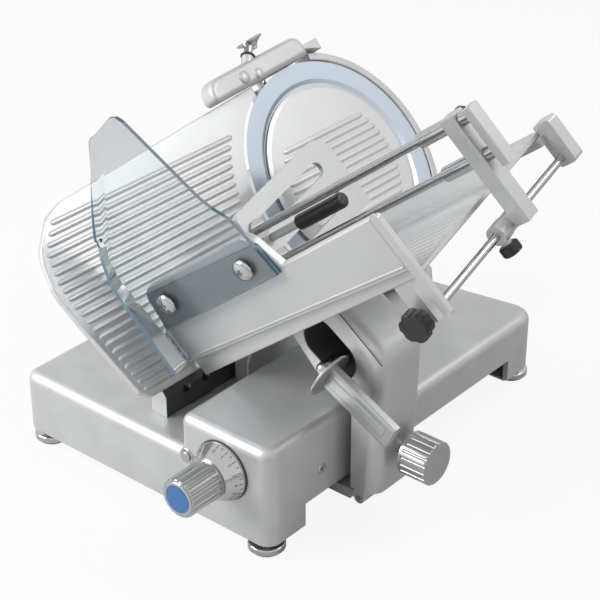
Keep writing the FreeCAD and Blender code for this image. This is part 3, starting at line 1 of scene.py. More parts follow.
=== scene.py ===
"""Finishes and fine pieces of a gravity-feed food slicer, laid over its fixed frame of solids.

Lengths are millimetres from the middle of the table under the machine, and become metres only
where a mesh is made. Each piece is worked out in the axes that suit it:
  LEVEL   x across the machine, y away from the operator, z up
  BLADE   x along the blade's axis, y level, z up the blade's slope
  TRAY    x along the feed, y across the tray, z square to the tray's floor
  SHARP   the blade's axes, turned a little about the blade's axis
  DIAL    z out of the front, along the shaft of the thickness dial
  HANDLE  z outwards along the carriage handle, y level
"""

import math

import bmesh
import bpy
import numpy as np
from mathutils import Matrix, Vector


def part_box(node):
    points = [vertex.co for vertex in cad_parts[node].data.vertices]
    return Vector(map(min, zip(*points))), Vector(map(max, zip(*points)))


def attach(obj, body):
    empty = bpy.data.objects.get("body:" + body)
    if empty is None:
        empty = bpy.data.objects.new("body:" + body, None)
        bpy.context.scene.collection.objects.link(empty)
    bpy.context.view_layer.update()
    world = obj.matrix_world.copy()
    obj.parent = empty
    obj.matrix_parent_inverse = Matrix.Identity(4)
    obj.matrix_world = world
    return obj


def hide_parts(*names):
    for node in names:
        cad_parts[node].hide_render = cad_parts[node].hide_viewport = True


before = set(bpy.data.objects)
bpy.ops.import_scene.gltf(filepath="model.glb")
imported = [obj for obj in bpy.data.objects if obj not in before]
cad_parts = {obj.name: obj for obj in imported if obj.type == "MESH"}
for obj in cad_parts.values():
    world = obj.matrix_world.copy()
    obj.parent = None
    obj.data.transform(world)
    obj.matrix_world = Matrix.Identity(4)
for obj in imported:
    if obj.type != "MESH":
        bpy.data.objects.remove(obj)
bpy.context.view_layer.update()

MM = 0.001
CASTING_CORNER = np.array([-204.0, -323.0, 28.0])
CASTING_FRONT = CASTING_CORNER[1]
SHIFT = np.array(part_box("base_casting")[0]) / MM - CASTING_CORNER


# ---------------------------------------------------------------- axes

NEARLY_ALONG = 0.9


def unit(ways):
    """Each vector along the last axis, divided by its length."""
    ways = np.asarray(ways, float)
    return ways / np.linalg.norm(ways, axis=-1, keepdims=True)


def leaning(first, second, angle):
    """Two square directions, both turned by an angle from the first towards the second."""
    return (math.cos(angle) * first + math.sin(angle) * second,
            math.cos(angle) * second - math.sin(angle) * first)


def square_ways(towards, first, second):
    """Rows x, y and z: z runs towards a direction, and x is the first way made square to it.

    The second way takes the first one's place where that one is nearly along z.
    """
    z = unit(towards)
    helper = first if abs(z @ first) < NEARLY_ALONG else second
    x = unit(helper - (helper @ z) * z)
    return np.array([x, np.cross(z, x), z])


class Axes:
    """A place and three directions. A piece is worked out in them and carried to the frame."""

    def __init__(self, start, x, y, z):
        self.start = np.asarray(start, float)
        self.ways = np.array([x, y, z], float)

    def level(self, points):
        """Points of these axes as millimetres in the level axes."""
        return self.start + np.asarray(points, float) @ self.ways

    def metres(self, points):
        """Points of these axes as metres in the frame."""
        return (self.level(points) + SHIFT) * MM

    def at(self, place, towards=None):
        """Axes at a place of these ones, whose z runs towards a direction of these ones."""
        if towards is None:
            return Axes(self.level(place), *self.ways)
        way = np.asarray(towards, float) @ self.ways
        return Axes(self.level(place), *square_ways(way, self.ways[0], self.ways[1]))


X_WAY, LEVEL_WAY, Z_WAY = np.eye(3)
HEAD = np.array([-56.5, 194.7, 275.6])
BLADE_TILT = math.radians(38.4)
CROSS_TILT = math.radians(13.0)
SHARP_TURN = math.radians(3.2)
HANDLE_SLOPE = math.radians(26.5)
FEED, SLOPE = leaning(X_WAY, Z_WAY, BLADE_TILT)

LEVEL = Axes((0, 0, 0), X_WAY, LEVEL_WAY, Z_WAY)
BLADE = Axes(HEAD, FEED, LEVEL_WAY, SLOPE)
TRAY = Axes(HEAD, FEED, *leaning(LEVEL_WAY, SLOPE, CROSS_TILT))
SHARP = Axes(HEAD, FEED, *leaning(LEVEL_WAY, SLOPE, SHARP_TURN))
DIAL = LEVEL.at((166, CASTING_FRONT, 118), (0, -1, 0))
HANDLE = Axes((245, -205, 233), (-math.sin(HANDLE_SLOPE), 0, -math.cos(HANDLE_SLOPE)),
              LEVEL_WAY, (math.cos(HANDLE_SLOPE), 0, -math.sin(HANDLE_SLOPE)))
AXLE = BLADE.at((0, 0, 0), (1, 0, 0))


# ---------------------------------------------------------------- meshes and pieces

CRISP = 40


def linked(name, data):
    """A new object of the scene that holds the data."""
    made = bpy.data.objects.new(name, data)
    bpy.context.scene.collection.objects.link(made)
    return made


def face_outwards(mesh):
    """Turns each closed shell of a mesh so that its faces point out."""
    work = bmesh.new()
    work.from_mesh(mesh)
    bmesh.ops.recalc_face_normals(work, faces=work.faces)
    work.to_mesh(mesh)
    work.free()


def settle(name, mesh, body, instead=None):
    """Puts a mesh into the scene as a piece of a body, in place of a solid where one is named."""
    piece = linked(name, mesh)
    face_outwards(mesh)
    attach(piece, body)
    if instead:
        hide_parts(instead)


def grid_faces(rows, columns, first):
    """Quads of a grid of points that is wrapped in its second direction."""
    row = np.arange(rows - 1)[:, None]
    column = np.arange(columns)[None, :]
    following = (column + 1) % columns
    a = first + row * columns + column
    b = first + row * columns + following
    c = first + (row + 1) * columns + following
    d = first + (row + 1) * columns + column
    return np.stack([a, b, c, d], axis=-1).reshape(-1, 4).tolist()


def solid(name, body, look, axes, grids, crisp=CRISP, instead=None, trim=None):
    """One piece from grids of closed rings, with a cap on the first and the last ring of each.

    The trim is a second finish, and the columns of each ring whose faces have it. The caps have
    it too. Edges sharper than the crisp angle, in degrees, stay hard.
    """
    points, faces = [], []
    first = 0
    for grid in grids:
        rows, columns = grid.shape[:2]
        points.append(grid.reshape(-1, 3))
        faces += grid_faces(rows, columns, first)
        faces.append(list(range(first + columns - 1, first - 1, -1)))
        last = first + (rows - 1) * columns
        faces.append(list(range(last, last + columns)))
        first += rows * columns
    mesh = bpy.data.meshes.new(name)
    mesh.from_pydata(axes.metres(np.concatenate(points)).tolist(), [], faces)
    mesh.polygons.foreach_set("use_smooth", np.ones(len(mesh.polygons), bool))
    mesh.set_sharp_from_angle(angle=math.radians(crisp))
    mesh.materials.append(look)
    if trim:
        trim_look, trim_columns = trim
        mesh.materials.append(trim_look)
        chosen = []
        for grid in grids:
            rows, columns = grid.shape[:2]
            band = np.zeros((rows - 1, columns), int)
            band[:, list(trim_columns)] = 1
            chosen += band.ravel().tolist() + [1, 1]
        mesh.polygons.foreach_set("material_index", chosen)
    settle(name, mesh, body, instead)


# ---------------------------------------------------------------- outlines and rings

TURN_STEPS = 48
SMALL_TURN_STEPS = 36
DOME_TIP = 0.02


def turned(profile, steps=TURN_STEPS):
    """Rings about z: each (radius, height) of the profile is swept through a full turn."""
    profile = np.asarray(profile, float)
    turn = np.linspace(0, 2 * math.pi, steps, endpoint=False)
    radius, height = profile[:, :1], profile[:, 1:2]
    return np.stack([radius * np.cos(turn), radius * np.sin(turn), height + 0 * turn], axis=-1)


def carried(grid, place, towards):
    """A grid drawn about z, carried to a place and turned so that z runs towards a direction."""
    return np.asarray(place, float) + grid @ square_ways(towards, X_WAY, LEVEL_WAY)


def six_sided(grid, rows):
    """Presses some rings of a turned grid into hexagons whose corners stay at the ring's radius.

    The factor is the cosine of 30 degrees over that of the angle from the nearest flat's middle.
    """
    turn = np.linspace(0, 2 * math.pi, grid.shape[1], endpoint=False)
    factor = math.cos(math.pi / 6) / np.cos(np.mod(turn, math.pi / 3) - math.pi / 6)
    grid = grid.copy()
    grid[rows, :, :2] *= factor[None, :, None]
    return grid


def dome(radius, height, steps=8):
    """Profile of a dome: radius times sine, height times cosine, from the rim to the top."""
    part = np.linspace(math.pi / 2, DOME_TIP, steps)
    return [(radius * math.sin(a), height * math.cos(a)) for a in part]


def pill(half, radius, steps=14):
    """A round-ended outline: half circles about two points, each half a length off the middle."""
    turn = np.linspace(-math.pi / 2, math.pi / 2, steps)
    right = np.stack([half + radius * np.cos(turn), radius * np.sin(turn)], axis=-1)
    return np.concatenate([right, -right])


def curve(start, corner, end, steps):
    """Quadratic curves: (1-t) squared of the start, 2t(1-t) of the corner, t squared of the end."""
    part = np.linspace(0, 1, steps)[None, :, None]
    start, corner, end = start[:, None], corner[:, None], end[:, None]
    return (1 - part) ** 2 * start + 2 * part * (1 - part) * corner + part ** 2 * end


def eased(corners, radius, steps=6):
    """A closed outline whose corners are curves that start and end a radius away from them."""
    corners = np.array(corners, float)
    start = corners + radius * unit(np.roll(corners, 1, axis=0) - corners)
    end = corners + radius * unit(np.roll(corners, -1, axis=0) - corners)
    return curve(start, corners, end, steps).reshape(-1, 2)


def standing(outline, level):
    """A flat outline of (x, z) as a ring at a level along y."""
    return np.stack([outline[:, 0], np.full(len(outline), level), outline[:, 1]], axis=-1)


def slab(outline, levels):
    """Rings of one flat outline at several levels along y."""
    return np.stack([standing(outline, level) for level in levels])


def swept(path, profile, side, up):
    """A flat profile carried along a path: its x goes to the side and its y goes up."""
    path, profile = np.asarray(path, float), np.asarray(profile, float)
    across, rise = profile[None, :, :1], profile[None, :, 1:]
    return path[:, None] + across * np.asarray(side, float) + rise * np.asarray(up, float)


# ---------------------------------------------------------------- finishes

def wire(tree, source, target):
    """Joins an output of a shader node to an input."""
    tree.links.new(source, target)


def node(tree, kind, **inputs):
    """A shader node with its inputs set by name."""
    made = tree.nodes.new(kind)
    for name, value in inputs.items():
        made.inputs[name.replace("_", " ")].default_value = value
    return made


def shader_of(material):
    """The node tree of a material, and its main shader."""
    return material.node_tree, material.node_tree.nodes["Principled BSDF"]


def finish(name, colour, metallic, roughness, **more):
    """A plain finish: colour, metal and gloss, with further shader sockets by name."""
    material = bpy.data.materials.new(name)
    material.use_nodes = True
    shader = shader_of(material)[1]
    shader.inputs["Base Color"].default_value = (*colour, 1)
    shader.inputs["Metallic"].default_value = metallic
    shader.inputs["Roughness"].default_value = roughness
    for socket, value in more.items():
        shader.inputs[socket.replace("_", " ")].default_value = value
    material.diffuse_color = (*colour, 1)
    return material


def place_nodes(tree, stretch, turn=(0, 0, 0)):
    """The piece's own coordinates, turned and stretched for a grain."""
    where = tree.nodes.new("ShaderNodeTexCoord")
    mapping = tree.nodes.new("ShaderNodeMapping")
    mapping.vector_type = "TEXTURE"
    mapping.inputs["Rotation"].default_value = turn
    mapping.inputs["Scale"].default_value = stretch
    wire(tree, where.outputs["Object"], mapping.inputs["Vector"])
    return mapping.outputs["Vector"]


def bumped(tree, shader, height, strength, distance):
    """Gives a shader a shallow bump from a height."""
    bump = node(tree, "ShaderNodeBump", Strength=strength, Distance=distance)
    wire(tree, height, bump.inputs["Height"])
    wire(tree, bump.outputs["Normal"], shader.inputs["Normal"])


def mottle(material, low, high, size):
    """The colour drifts between two tones in soft clouds of a given size."""
    tree, shader = shader_of(material)
    clouds = node(tree, "ShaderNodeTexNoise", Scale=1 / (size * MM), Detail=3.0, Roughness=0.5)
    wire(tree, place_nodes(tree, (1, 1, 1)), clouds.inputs["Vector"])
    ramp = tree.nodes.new("ShaderNodeValToRGB")
    for element, position, tone in zip(ramp.color_ramp.elements, (0.35, 0.65), (low, high)):
        element.position = position
        element.color = (*tone, 1)
    wire(tree, clouds.outputs["Fac"], ramp.inputs["Fac"])
    wire(tree, ramp.outputs["Color"], shader.inputs["Base Color"])


def grain(material, stretch, rough, turn=(0, 0, 0)):
    """Fine scratches: noise drawn out along one way, as a shallow bump and a change of gloss."""
    tree, shader = shader_of(material)
    lines = node(tree, "ShaderNodeTexNoise", Scale=1.0, Detail=4.0, Roughness=0.6)
    spread = tuple(length * MM for length in stretch)
    wire(tree, place_nodes(tree, spread, turn), lines.inputs["Vector"])
    bumped(tree, shader, lines.outputs["Fac"], 0.35, GRAIN_DEPTH * MM)
    gloss = node(tree, "ShaderNodeMapRange", To_Min=rough[0], To_Max=rough[1])
    wire(tree, lines.outputs["Fac"], gloss.inputs["Value"])
    wire(tree, gloss.outputs["Result"], shader.inputs["Roughness"])


TILTED = (0, -BLADE_TILT, 0)
LONG, MIDDLE, FINE = 60.0, 0.7, 0.5
EVEN = (MIDDLE, MIDDLE, MIDDLE)
GRAIN_DEPTH = 0.02
LATHE_DEPTH = 0.02


def satin_casting():
    """Cast aluminium, ground and blasted to an even satin."""
    light_tone = (0.56, 0.565, 0.57)
    material = finish("satin_casting", light_tone, 0.5, 0.4)
    mottle(material, (0.51, 0.515, 0.52), light_tone, 60)
    grain(material, EVEN, (0.38, 0.48))
    return material


def brushed(name, tone, stretch, rough, turn=(0, 0, 0), metal=0.5):
    """Aluminium brushed along the long side of the stretch."""
    material = finish(name, tone, metal, rough[0])
    mottle(material, tone, tuple(min(1, part * 1.05) for part in tone), 90)
    grain(material, stretch, rough, turn)
    return material


def faced(name, tone, face_tone, way, metallic, roughness):
    """A casting of one tone whose flat faces square to one way have another tone."""
    material = finish(name, tone, metallic, roughness)
    tree, shader = shader_of(material)
    where = tree.nodes.new("ShaderNodeNewGeometry")
    towards = tree.nodes.new("ShaderNodeVectorMath")
    towards.operation = "DOT_PRODUCT"
    towards.inputs[1].default_value = way
    wire(tree, where.outputs["Normal"], towards.inputs[0])
    level = node(tree, "ShaderNodeMapRange", From_Min=0.8, From_Max=0.95)
    wire(tree, towards.outputs["Value"], level.inputs["Value"])
    mix = tree.nodes.new("ShaderNodeMix")
    mix.data_type = "RGBA"
    mix.inputs["A"].default_value = (*tone, 1)
    mix.inputs["B"].default_value = (*face_tone, 1)
    wire(tree, level.outputs["Result"], mix.inputs["Factor"])
    wire(tree, mix.outputs["Result"], shader.inputs["Base Color"])
    return material


def lathe_marks(name, tone, axes, pitch, rough):
    """Turned metal: fine rings about an axis, worked out from the distance to it."""
    material = finish(name, tone, 1.0, rough)
    tree, shader = shader_of(material)
    where = tree.nodes.new("ShaderNodeTexCoord")
    away = tree.nodes.new("ShaderNodeVectorMath")
    away.operation = "SUBTRACT"
    away.inputs[1].default_value = axes.metres((0, 0, 0))
    wire(tree, where.outputs["Object"], away.inputs[0])
    off_axis = tree.nodes.new("ShaderNodeVectorMath")
    off_axis.operation = "CROSS_PRODUCT"
    off_axis.inputs[1].default_value = axes.ways[2]
    wire(tree, away.outputs["Vector"], off_axis.inputs[0])
    radius = tree.nodes.new("ShaderNodeVectorMath")
    radius.operation = "LENGTH"
    wire(tree, off_axis.outputs["Vector"], radius.inputs[0])
    rings = tree.nodes.new("ShaderNodeTexNoise")
    rings.noise_dimensions = "1D"
    rings.inputs["Scale"].default_value = 1 / (pitch * MM)
    rings.inputs["Detail"].default_value = 3
    wire(tree, radius.outputs["Value"], rings.inputs["W"])
    bumped(tree, shader, rings.outputs["Fac"], 0.25, LATHE_DEPTH * MM)
    return material


def clear_sheet(name, tone, transmission, rough):
    """Clear plastic with a trace of colour."""
    return finish(name, tone, 0.0, rough, Transmission_Weight=transmission, IOR=1.45)


CASTING = satin_casting()
SHEET = brushed("brushed_sheet", (0.54, 0.545, 0.55), (LONG, LONG, FINE), (0.34, 0.46), TILTED)
RIBBED = brushed("ribbed_sheet", (0.6, 0.605, 0.61), (LONG, MIDDLE, MIDDLE), (0.28, 0.38))
ARM_SATIN = brushed("arm_satin", (0.5, 0.505, 0.51), (MIDDLE, LONG, LONG), (0.36, 0.48), TILTED)
RODS = finish("ground_rod", (0.44, 0.445, 0.45), 1.0, 0.16)
CHROME = finish("chrome", (0.48, 0.485, 0.49), 1.0, 0.1)
KNOB_METAL = brushed("knob_metal", (0.4, 0.405, 0.41), (MIDDLE, LONG, MIDDLE), (0.24, 0.34),
                     metal=0.75)
# The bluish tint of the blade steel is a painted reflection.
BLADE_STEEL = lathe_marks("blade_steel", (0.46, 0.51, 0.57), AXLE, 0.6, 0.28)
COVER_METAL = brushed("cover_metal", (0.64, 0.645, 0.65), EVEN, (0.34, 0.42))
BRACKET_CAST = faced("bracket_casting", (0.05, 0.053, 0.056), (0.5, 0.505, 0.51), (0, -1, 0),
                     0.3, 0.45)
DARK_CAST = finish("dark_casting", (0.09, 0.095, 0.1), 0.4, 0.5)
# Painted shade: this dark tone stands in for the shade inside the column's pocket.
RECESS_SHADE = finish("recess_painted_shade", (0.12, 0.122, 0.125), 0.4, 0.45)
BLACK = finish("black_moulded", (0.012, 0.012, 0.013), 0.0, 0.36)
RUBBER = finish("foot_rubber", (0.02, 0.02, 0.02), 0.0, 0.8)
BELT = finish("belt_rubber", (0.03, 0.03, 0.03), 0.0, 0.7)
CLEAR = clear_sheet("clear_acrylic", (0.8, 0.84, 0.86), 1.0, 0.02)
EDGE = clear_sheet("acrylic_edge", (0.16, 0.3, 0.4), 0.5, 0.08)
CAP_BLUE = finish("blue_cap", (0.006, 0.12, 0.36), 0.0, 0.25, Coat_Weight=0.6)
STONE = finish("grinding_stone", (0.42, 0.3, 0.26), 0.0, 0.9)
BRONZE = finish("bronze", (0.55, 0.38, 0.2), 1.0, 0.35)
INK = finish("dial_ink", (0.02, 0.02, 0.02), 0.0, 0.5)
# Painted shade: a dark finish for the groove on the column, the gap round the dial's foot and the
# lock's slit, where shade falls.
SEAM_SHADE = finish("seam_shadow", (0.05, 0.05, 0.05), 0.0, 0.7)

NODE_FINISHES = {
    CASTING: ["base_casting", "bottom_plate", "side_ridge", "rod_mounts", "guard_ring",
              "blade_carrier", "motor_cover", "sharpener_housing", "carriage_slider",
              "gauge_slider"],
    ARM_SATIN: ["carriage_arm"],
    SHEET: ["tray_wall", "tray_floor", "tray_end_bar", "far_bracket", "pusher_arm",
            "rail_collar", "yoke_bar", "pusher_plate"],
    RIBBED: ["gauge_plate"],
    COVER_METAL: ["blade_cover"],
    KNOB_METAL: ["thickness_knob", "column_knob", "carriage_handle"],
    RODS: ["guide_rods", "thickness_shaft", "blade_shaft", "blade_nut", "driven_pulley",
           "drive_pulley", "cover_tie_rod", "sharpener_post", "tilt_pin", "column_shaft",
           "handle_root", "pusher_rail", "rod_sleeves", "feed_rods", "rod_fittings"],
    CHROME: ["feet", "dial_cone", "sharpener_knob", "guard_screws", "start_button"],
    BLADE_STEEL: ["blade"],
    BRACKET_CAST: ["gauge_bracket"],
    DARK_CAST: ["motor"],
    BLACK: ["tie_rod_knob", "tray_knob", "arm_lock_knob", "rod_lock_knob", "pusher_grip"],
    RUBBER: ["foot_pads"],
    BELT: ["drive_belt"],
    BRONZE: ["blade_bearings", "slide_bushes", "guide_roller"],
    STONE: ["sharpener_stones"],
    CLEAR: ["hand_guard"],
    CAP_BLUE: ["knob_cap"],
}


def dress_nodes():
    """Gives each solid of the frame its finish."""
    for material, names in NODE_FINISHES.items():
        for name in names:
            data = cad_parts[name].data
            data.materials.clear()
            data.materials.append(material)


# ---------------------------------------------------------------- ribbed plates

RIB_STEPS = 14
RIB_COLUMNS = 11
RIB_SINK = 0.6
RIB_SHOULDER = 1.4
RIB_TIP = 0.001
FACING_X, FACING_Z = [2, 0, 1], [0, 1, 2]


def ribs(starts, ends, levels, width, height, facing, face):
    """Raised ribs: a half wave across, which shrinks in a quarter circle at both ends.

    Each is worked out as (run, level, height), put in the order that faces it the right way, and
    moved to the face it stands on.
    """
    share = np.linspace(0, math.pi, RIB_STEPS)
    along = (1 - np.cos(share)) / 2
    across = np.linspace(-1, 1, RIB_COLUMNS)
    wave = np.cos(across * math.pi / 2) ** RIB_SHOULDER
    grids = []
    for start, end, level in zip(starts, ends, levels):
        run = np.where(along < 0.5, start + along * 2 * width, end - (1 - along) * 2 * width)
        reach = np.minimum(np.abs(run - start), np.abs(end - run)) / width
        circle = np.sqrt(np.clip(1 - (1 - np.clip(reach, 0, 1)) ** 2, 0, 1))
        round_end = circle * (1 - RIB_TIP) + RIB_TIP
        top = np.stack([
            np.broadcast_to(run[:, None], (RIB_STEPS, RIB_COLUMNS)),
            level + width / 2 * across[None, :] * round_end[:, None],
            height * wave[None, :] * round_end[:, None],
        ], axis=-1)
        under = top[:, [-1, 0]] * [1, 1, 0] - [0, 0, RIB_SINK]
        grid = np.concatenate([top, under], axis=1)
        grids.append(grid[..., facing] + face)
    return grids


PLATE_LEFT = [(-142, -500), (-129, -516), (-22, -545), (26, -556), (42, -557), (87, -549),
              (128, -512), (139, -481), (172, -80)]
PLATE_WIDEST = 5
PLATE_LOW, PLATE_HIGH = -128.0, 126.0
PLATE_PITCH = 12.3
PLATE_FACE = -3.0
RIB_INSET = 9
BLADE_HOLLOW = 179.0
HOLLOW_GAP = 26
LAST_RIB_END = -92


def gauge_ribs():
    """Ribs across the thickness plate, from its rounded end to the hollow round the blade.

    They start inside the plate's left edge and end before the hollow's circle.
    """
    levels = np.arange(PLATE_LOW, PLATE_HIGH, PLATE_PITCH)
    outline = np.array(PLATE_LEFT, float)
    lower, upper = outline[:PLATE_WIDEST + 1], outline[PLATE_WIDEST:]
    starts = np.interp(levels, lower[:, 0], lower[:, 1]) + RIB_INSET
    high = levels > outline[PLATE_WIDEST, 0]
    starts[high] = np.interp(levels[high], upper[:, 0], upper[:, 1]) + RIB_INSET
    hollow = -np.sqrt(np.clip(BLADE_HOLLOW ** 2 - levels ** 2, 0, None))
    ends = np.minimum(hollow - HOLLOW_GAP, LAST_RIB_END)
    grids = ribs(starts, ends, levels, 9.0, 1.6, FACING_X, (PLATE_FACE, 0, 0))
    solid("gauge_ribs", "gauge", RIBBED, BLADE, grids)


COVER_RIBS = 13
COVER_PITCH = 11.7
COVER_RIB_REACH = 112.0
COVER_FACE = 0.8


def cover_ribs():
    """Thick ribs across the blade cover, ending on one circle."""
    levels = (np.arange(COVER_RIBS) - COVER_RIBS / 2) * COVER_PITCH
    reach = np.sqrt(COVER_RIB_REACH ** 2 - levels ** 2)
    grids = ribs(-reach, reach, levels, 10.4, 2.0, FACING_X, (COVER_FACE, 0, 0))
    solid("cover_ribs", "base", COVER_METAL, BLADE, grids)


FLOOR_TOP = -51.0
FLOOR_PITCH = 13.2
FLOOR_NEAR, FLOOR_FAR = -418, -116
FLOOR_START = 12.0
FLOOR_END, BRACKET_END = 431.0, 420.0
BRACKET_NEAR = -132


def floor_ribs():
    """Ribs along the tray's floor, in the way that the food slides; the last stops at a bracket."""
    levels = np.arange(FLOOR_NEAR, FLOOR_FAR, FLOOR_PITCH)
    starts = np.full(len(levels), FLOOR_START)
    ends = np.where(levels > BRACKET_NEAR, BRACKET_END, FLOOR_END)
    grids = ribs(starts, ends, levels, 9.0, 1.3, FACING_Z, (0, 0, FLOOR_TOP))
    solid("floor_ribs", "tray_arm", SHEET, TRAY, grids)


# ---------------------------------------------------------------- hand guard

# Heights up the sheet, with x for the right edge and the fold, and x and y for the lip's edge.
RIGHT_EDGE = [(297, 196), (293, 207), (284, 212), (156, 235), (135, 243), (123, 251),
              (108, 256), (66, 260), (25, 262)]
FOLD_LINE = [(290, 156), (279, 151), (258, 128), (237, 104), (215, 81), (193, 58), (169, 37),
             (144, 16), (117, 8), (86, 7), (-24, 7)]
LIP_EDGE = [(288, 144, -455), (250, 107, -458), (213, 72, -462), (184, 48, -466),
            (156, 29, -470), (127, 18, -475), (99, 18, -480), (75, 22, -484), (50, 26, -487),
            (29, 22, -487), (-5, 19, -487), (-24, 19, -487)]
# Each row's height at the right edge, at the fold and at the lip's edge.
UPPER_ROWS = [(297, 290, 288), (293, 284, 284), (284, 274, 278), (240, 237, 243),
              (200, 200, 205), (156, 156, 160), (135, 135, 137), (108, 108, 108), (66, 66, 66),
              (25.5, 25, 25)]
LOWER_ROWS = [(25, 25, 25), (0, 0, 0), (-24, -24, -24)]
UPPER_COUNT, LOWER_COUNT = 54, 12
LOWER_RIGHT = 14.0
GUARD_FRONT = -451.0
SHEET_THICK = 5.0
FOLD_STEPS = 9
FOLD_REACH, LIP_REACH = 9.0, 7.0
FOLD_SHARE = 0.45


def follow(table, heights):
    """Reads a falling table of (height, value, ...) at given heights, a column per value."""
    table = np.array(table[::-1], float)
    return [np.interp(heights, table[:, 0], column) for column in table.T[1:]]


def guard_rows(rows, count, right=None):
    """Rows of a sheet's front face, each from the lip's edge round the fold to the right edge."""
    rows = np.array(rows, float)
    step = np.linspace(0, len(rows) - 1, count)
    right_height, fold_height, lip_height = [
        np.interp(step, np.arange(len(rows)), column) for column in rows.T]
    right_x = follow(RIGHT_EDGE, right_height)[0] if right is None else np.full(count, right)
    lip_x, lip_y = follow(LIP_EDGE, lip_height)
    level = np.full(count, GUARD_FRONT)
    right_end = np.stack([right_x, level, right_height], axis=-1)
    fold = np.stack([follow(FOLD_LINE, fold_height)[0], level, fold_height], axis=-1)
    lip = np.stack([lip_x, lip_y, lip_height], axis=-1)
    width = np.linalg.norm(right_end - fold, axis=1)
    reach = np.minimum(FOLD_REACH, FOLD_SHARE * width)[:, None]
    start = fold + unit(lip - fold) * np.minimum(reach, LIP_REACH)
    end = fold + unit(right_end - fold) * reach
    bend = curve(start, fold, end, FOLD_STEPS)
    return np.concatenate([lip[:, None], bend, right_end[:, None]], axis=1)


def guard_sheet():
    """The guard: straight rows with a quadratic curve at the fold, thickened along its normal.

    The normal is the cross product of the ways across and down the rows. Where the outline steps
    in, the way down is taken from the row above.
    """
    upper = guard_rows(UPPER_ROWS, UPPER_COUNT)
    lower = guard_rows(LOWER_ROWS, LOWER_COUNT, LOWER_RIGHT)
    front = np.concatenate([upper, lower])
    across = np.gradient(front, axis=1)
    down = np.gradient(front, axis=0)
    down[UPPER_COUNT - 1:UPPER_COUNT + 1] = down[UPPER_COUNT - 2]
    normal = unit(np.cross(across, down))
    normal *= np.sign(normal[..., 1:2])
    back = front + SHEET_THICK * normal
    columns = front.shape[1]
    grid = np.concatenate([front, back[:, ::-1]], axis=1)
    solid("guard_sheet", "tray_arm", CLEAR, TRAY, [grid], 30, "hand_guard",
          (EDGE, (columns - 1, 2 * columns - 1)))


STRIP_CORNERS = [(14, 27), (263, 24), (260, 72), (30, 82)]
STRIP_LEVELS = (-444.9, -441.1)
STRIP_EASE = 5
GUARD_SCREWS = ((54, 58), (218, 51))
HEAD_RADIUS, HEAD_RIM, HEAD_DOME = 15, 1.2, 5.5
SOCKET_RINGS = [-3, -2]


def guard_fixings():
    """The clear strip behind the guard, a lath with eased corners, and two domed socket screws."""
    strip = slab(eased(STRIP_CORNERS, STRIP_EASE), STRIP_LEVELS)
    solid("guard_strip", "tray_arm", EDGE, TRAY, [strip], 30,
          trim=(CLEAR, ()))
    profile = [(4.9, -22), (4.9, 0), (14.4, 0), (HEAD_RADIUS, 0.4), (HEAD_RADIUS, HEAD_RIM)]
    profile += [(part, HEAD_RIM + rise) for part, rise in dome(HEAD_RADIUS, HEAD_DOME)[1:-3]]
    profile += [(5.2, 6.4), (5.0, 3.6), (0.2, 3.4)]
    screw = six_sided(turned(profile), SOCKET_RINGS)
    heads = [carried(screw, (x, GUARD_FRONT, z), (0, -1, 0)) for x, z in GUARD_SCREWS]
    solid("guard_screw_heads", "tray_arm", CHROME, TRAY, heads, 35, "guard_screws")


# ---------------------------------------------------------------- column and handle

RECESS = (221.0, 250.0)
RECESS_SLOPE = math.radians(32)
RECESS_HALF, RECESS_RADIUS = 18.0, 28.0
RECESS_RINGS = ((0.15, -126.2), (0.15, -177.2), (1.0, -177.6), (1.4, -177.2), (1.4, -127.4))


def recess_lining():
    """Painted shade in the column's pocket, a dark lining: rings of a round-ended outline, (inset,
    level).
    """
    way = np.array([math.cos(RECESS_SLOPE), -math.sin(RECESS_SLOPE)])
    side = np.array([-way[1], way[0]])
    rings = []
    for inset, level in RECESS_RINGS:
        outline = pill(RECESS_HALF, RECESS_RADIUS - inset)
        flat = np.array(RECESS) + outline[:, :1] * way + outline[:, 1:] * side
        rings.append(standing(flat, level))
    solid("recess_lining", "tray_arm", RECESS_SHADE, LEVEL, [np.stack(rings)],
          30)


SEAM_ENDS = np.array([(228, 314), (305, 258)])
SEAM_HALF = 0.7
SEAM_FACE, SEAM_BACK = -178.12, -177.5


def column_seam():
    """Painted shade of the groove where the column's two castings meet: a flat dark strip between
    two points.
    """
    way = unit(SEAM_ENDS[1] - SEAM_ENDS[0])
    side = np.array([-way[1], way[0]]) * SEAM_HALF
    ends = []
    for point in SEAM_ENDS:
        corners = [point - side, point + side]
        ends.append([(x, SEAM_FACE, z) for x, z in corners]
                    + [(x, SEAM_BACK, z) for x, z in corners[::-1]])
    solid("column_seam", "tray_arm", SEAM_SHADE, LEVEL, [np.array(ends)], 30)


PANEL_HALF, PANEL_LOW, PANEL_HIGH = 8.0, 0.4, 101.0
PANEL_EASE = 2.5
PANEL_RINGS = ((0, -0.3), (0, 0.4), (0.3, 0.8), (0.9, 1.1), (1.8, 1.2))
HANDLE_FACE = 7.5


def handle_details():
    """A raised panel on both broad faces of the handle: rings of an eased rectangle.

    Each ring is (inset, height over the face).
    """
    grids = []
    for sign in (-1, 1):
        rings = []
        for inset, height in PANEL_RINGS:
            wide, low, high = PANEL_HALF - inset, PANEL_LOW + inset, PANEL_HIGH - inset
            corners = [(-wide, low), (wide, low), (wide, high), (-wide, high)]
            rings.append(standing(eased(corners, PANEL_EASE), sign * (HANDLE_FACE + height)))
        grids.append(np.stack(rings))
    solid("handle_panels", "tray_arm", KNOB_METAL, HANDLE, grids, 30)


# ---------------------------------------------------------------- dial and controls

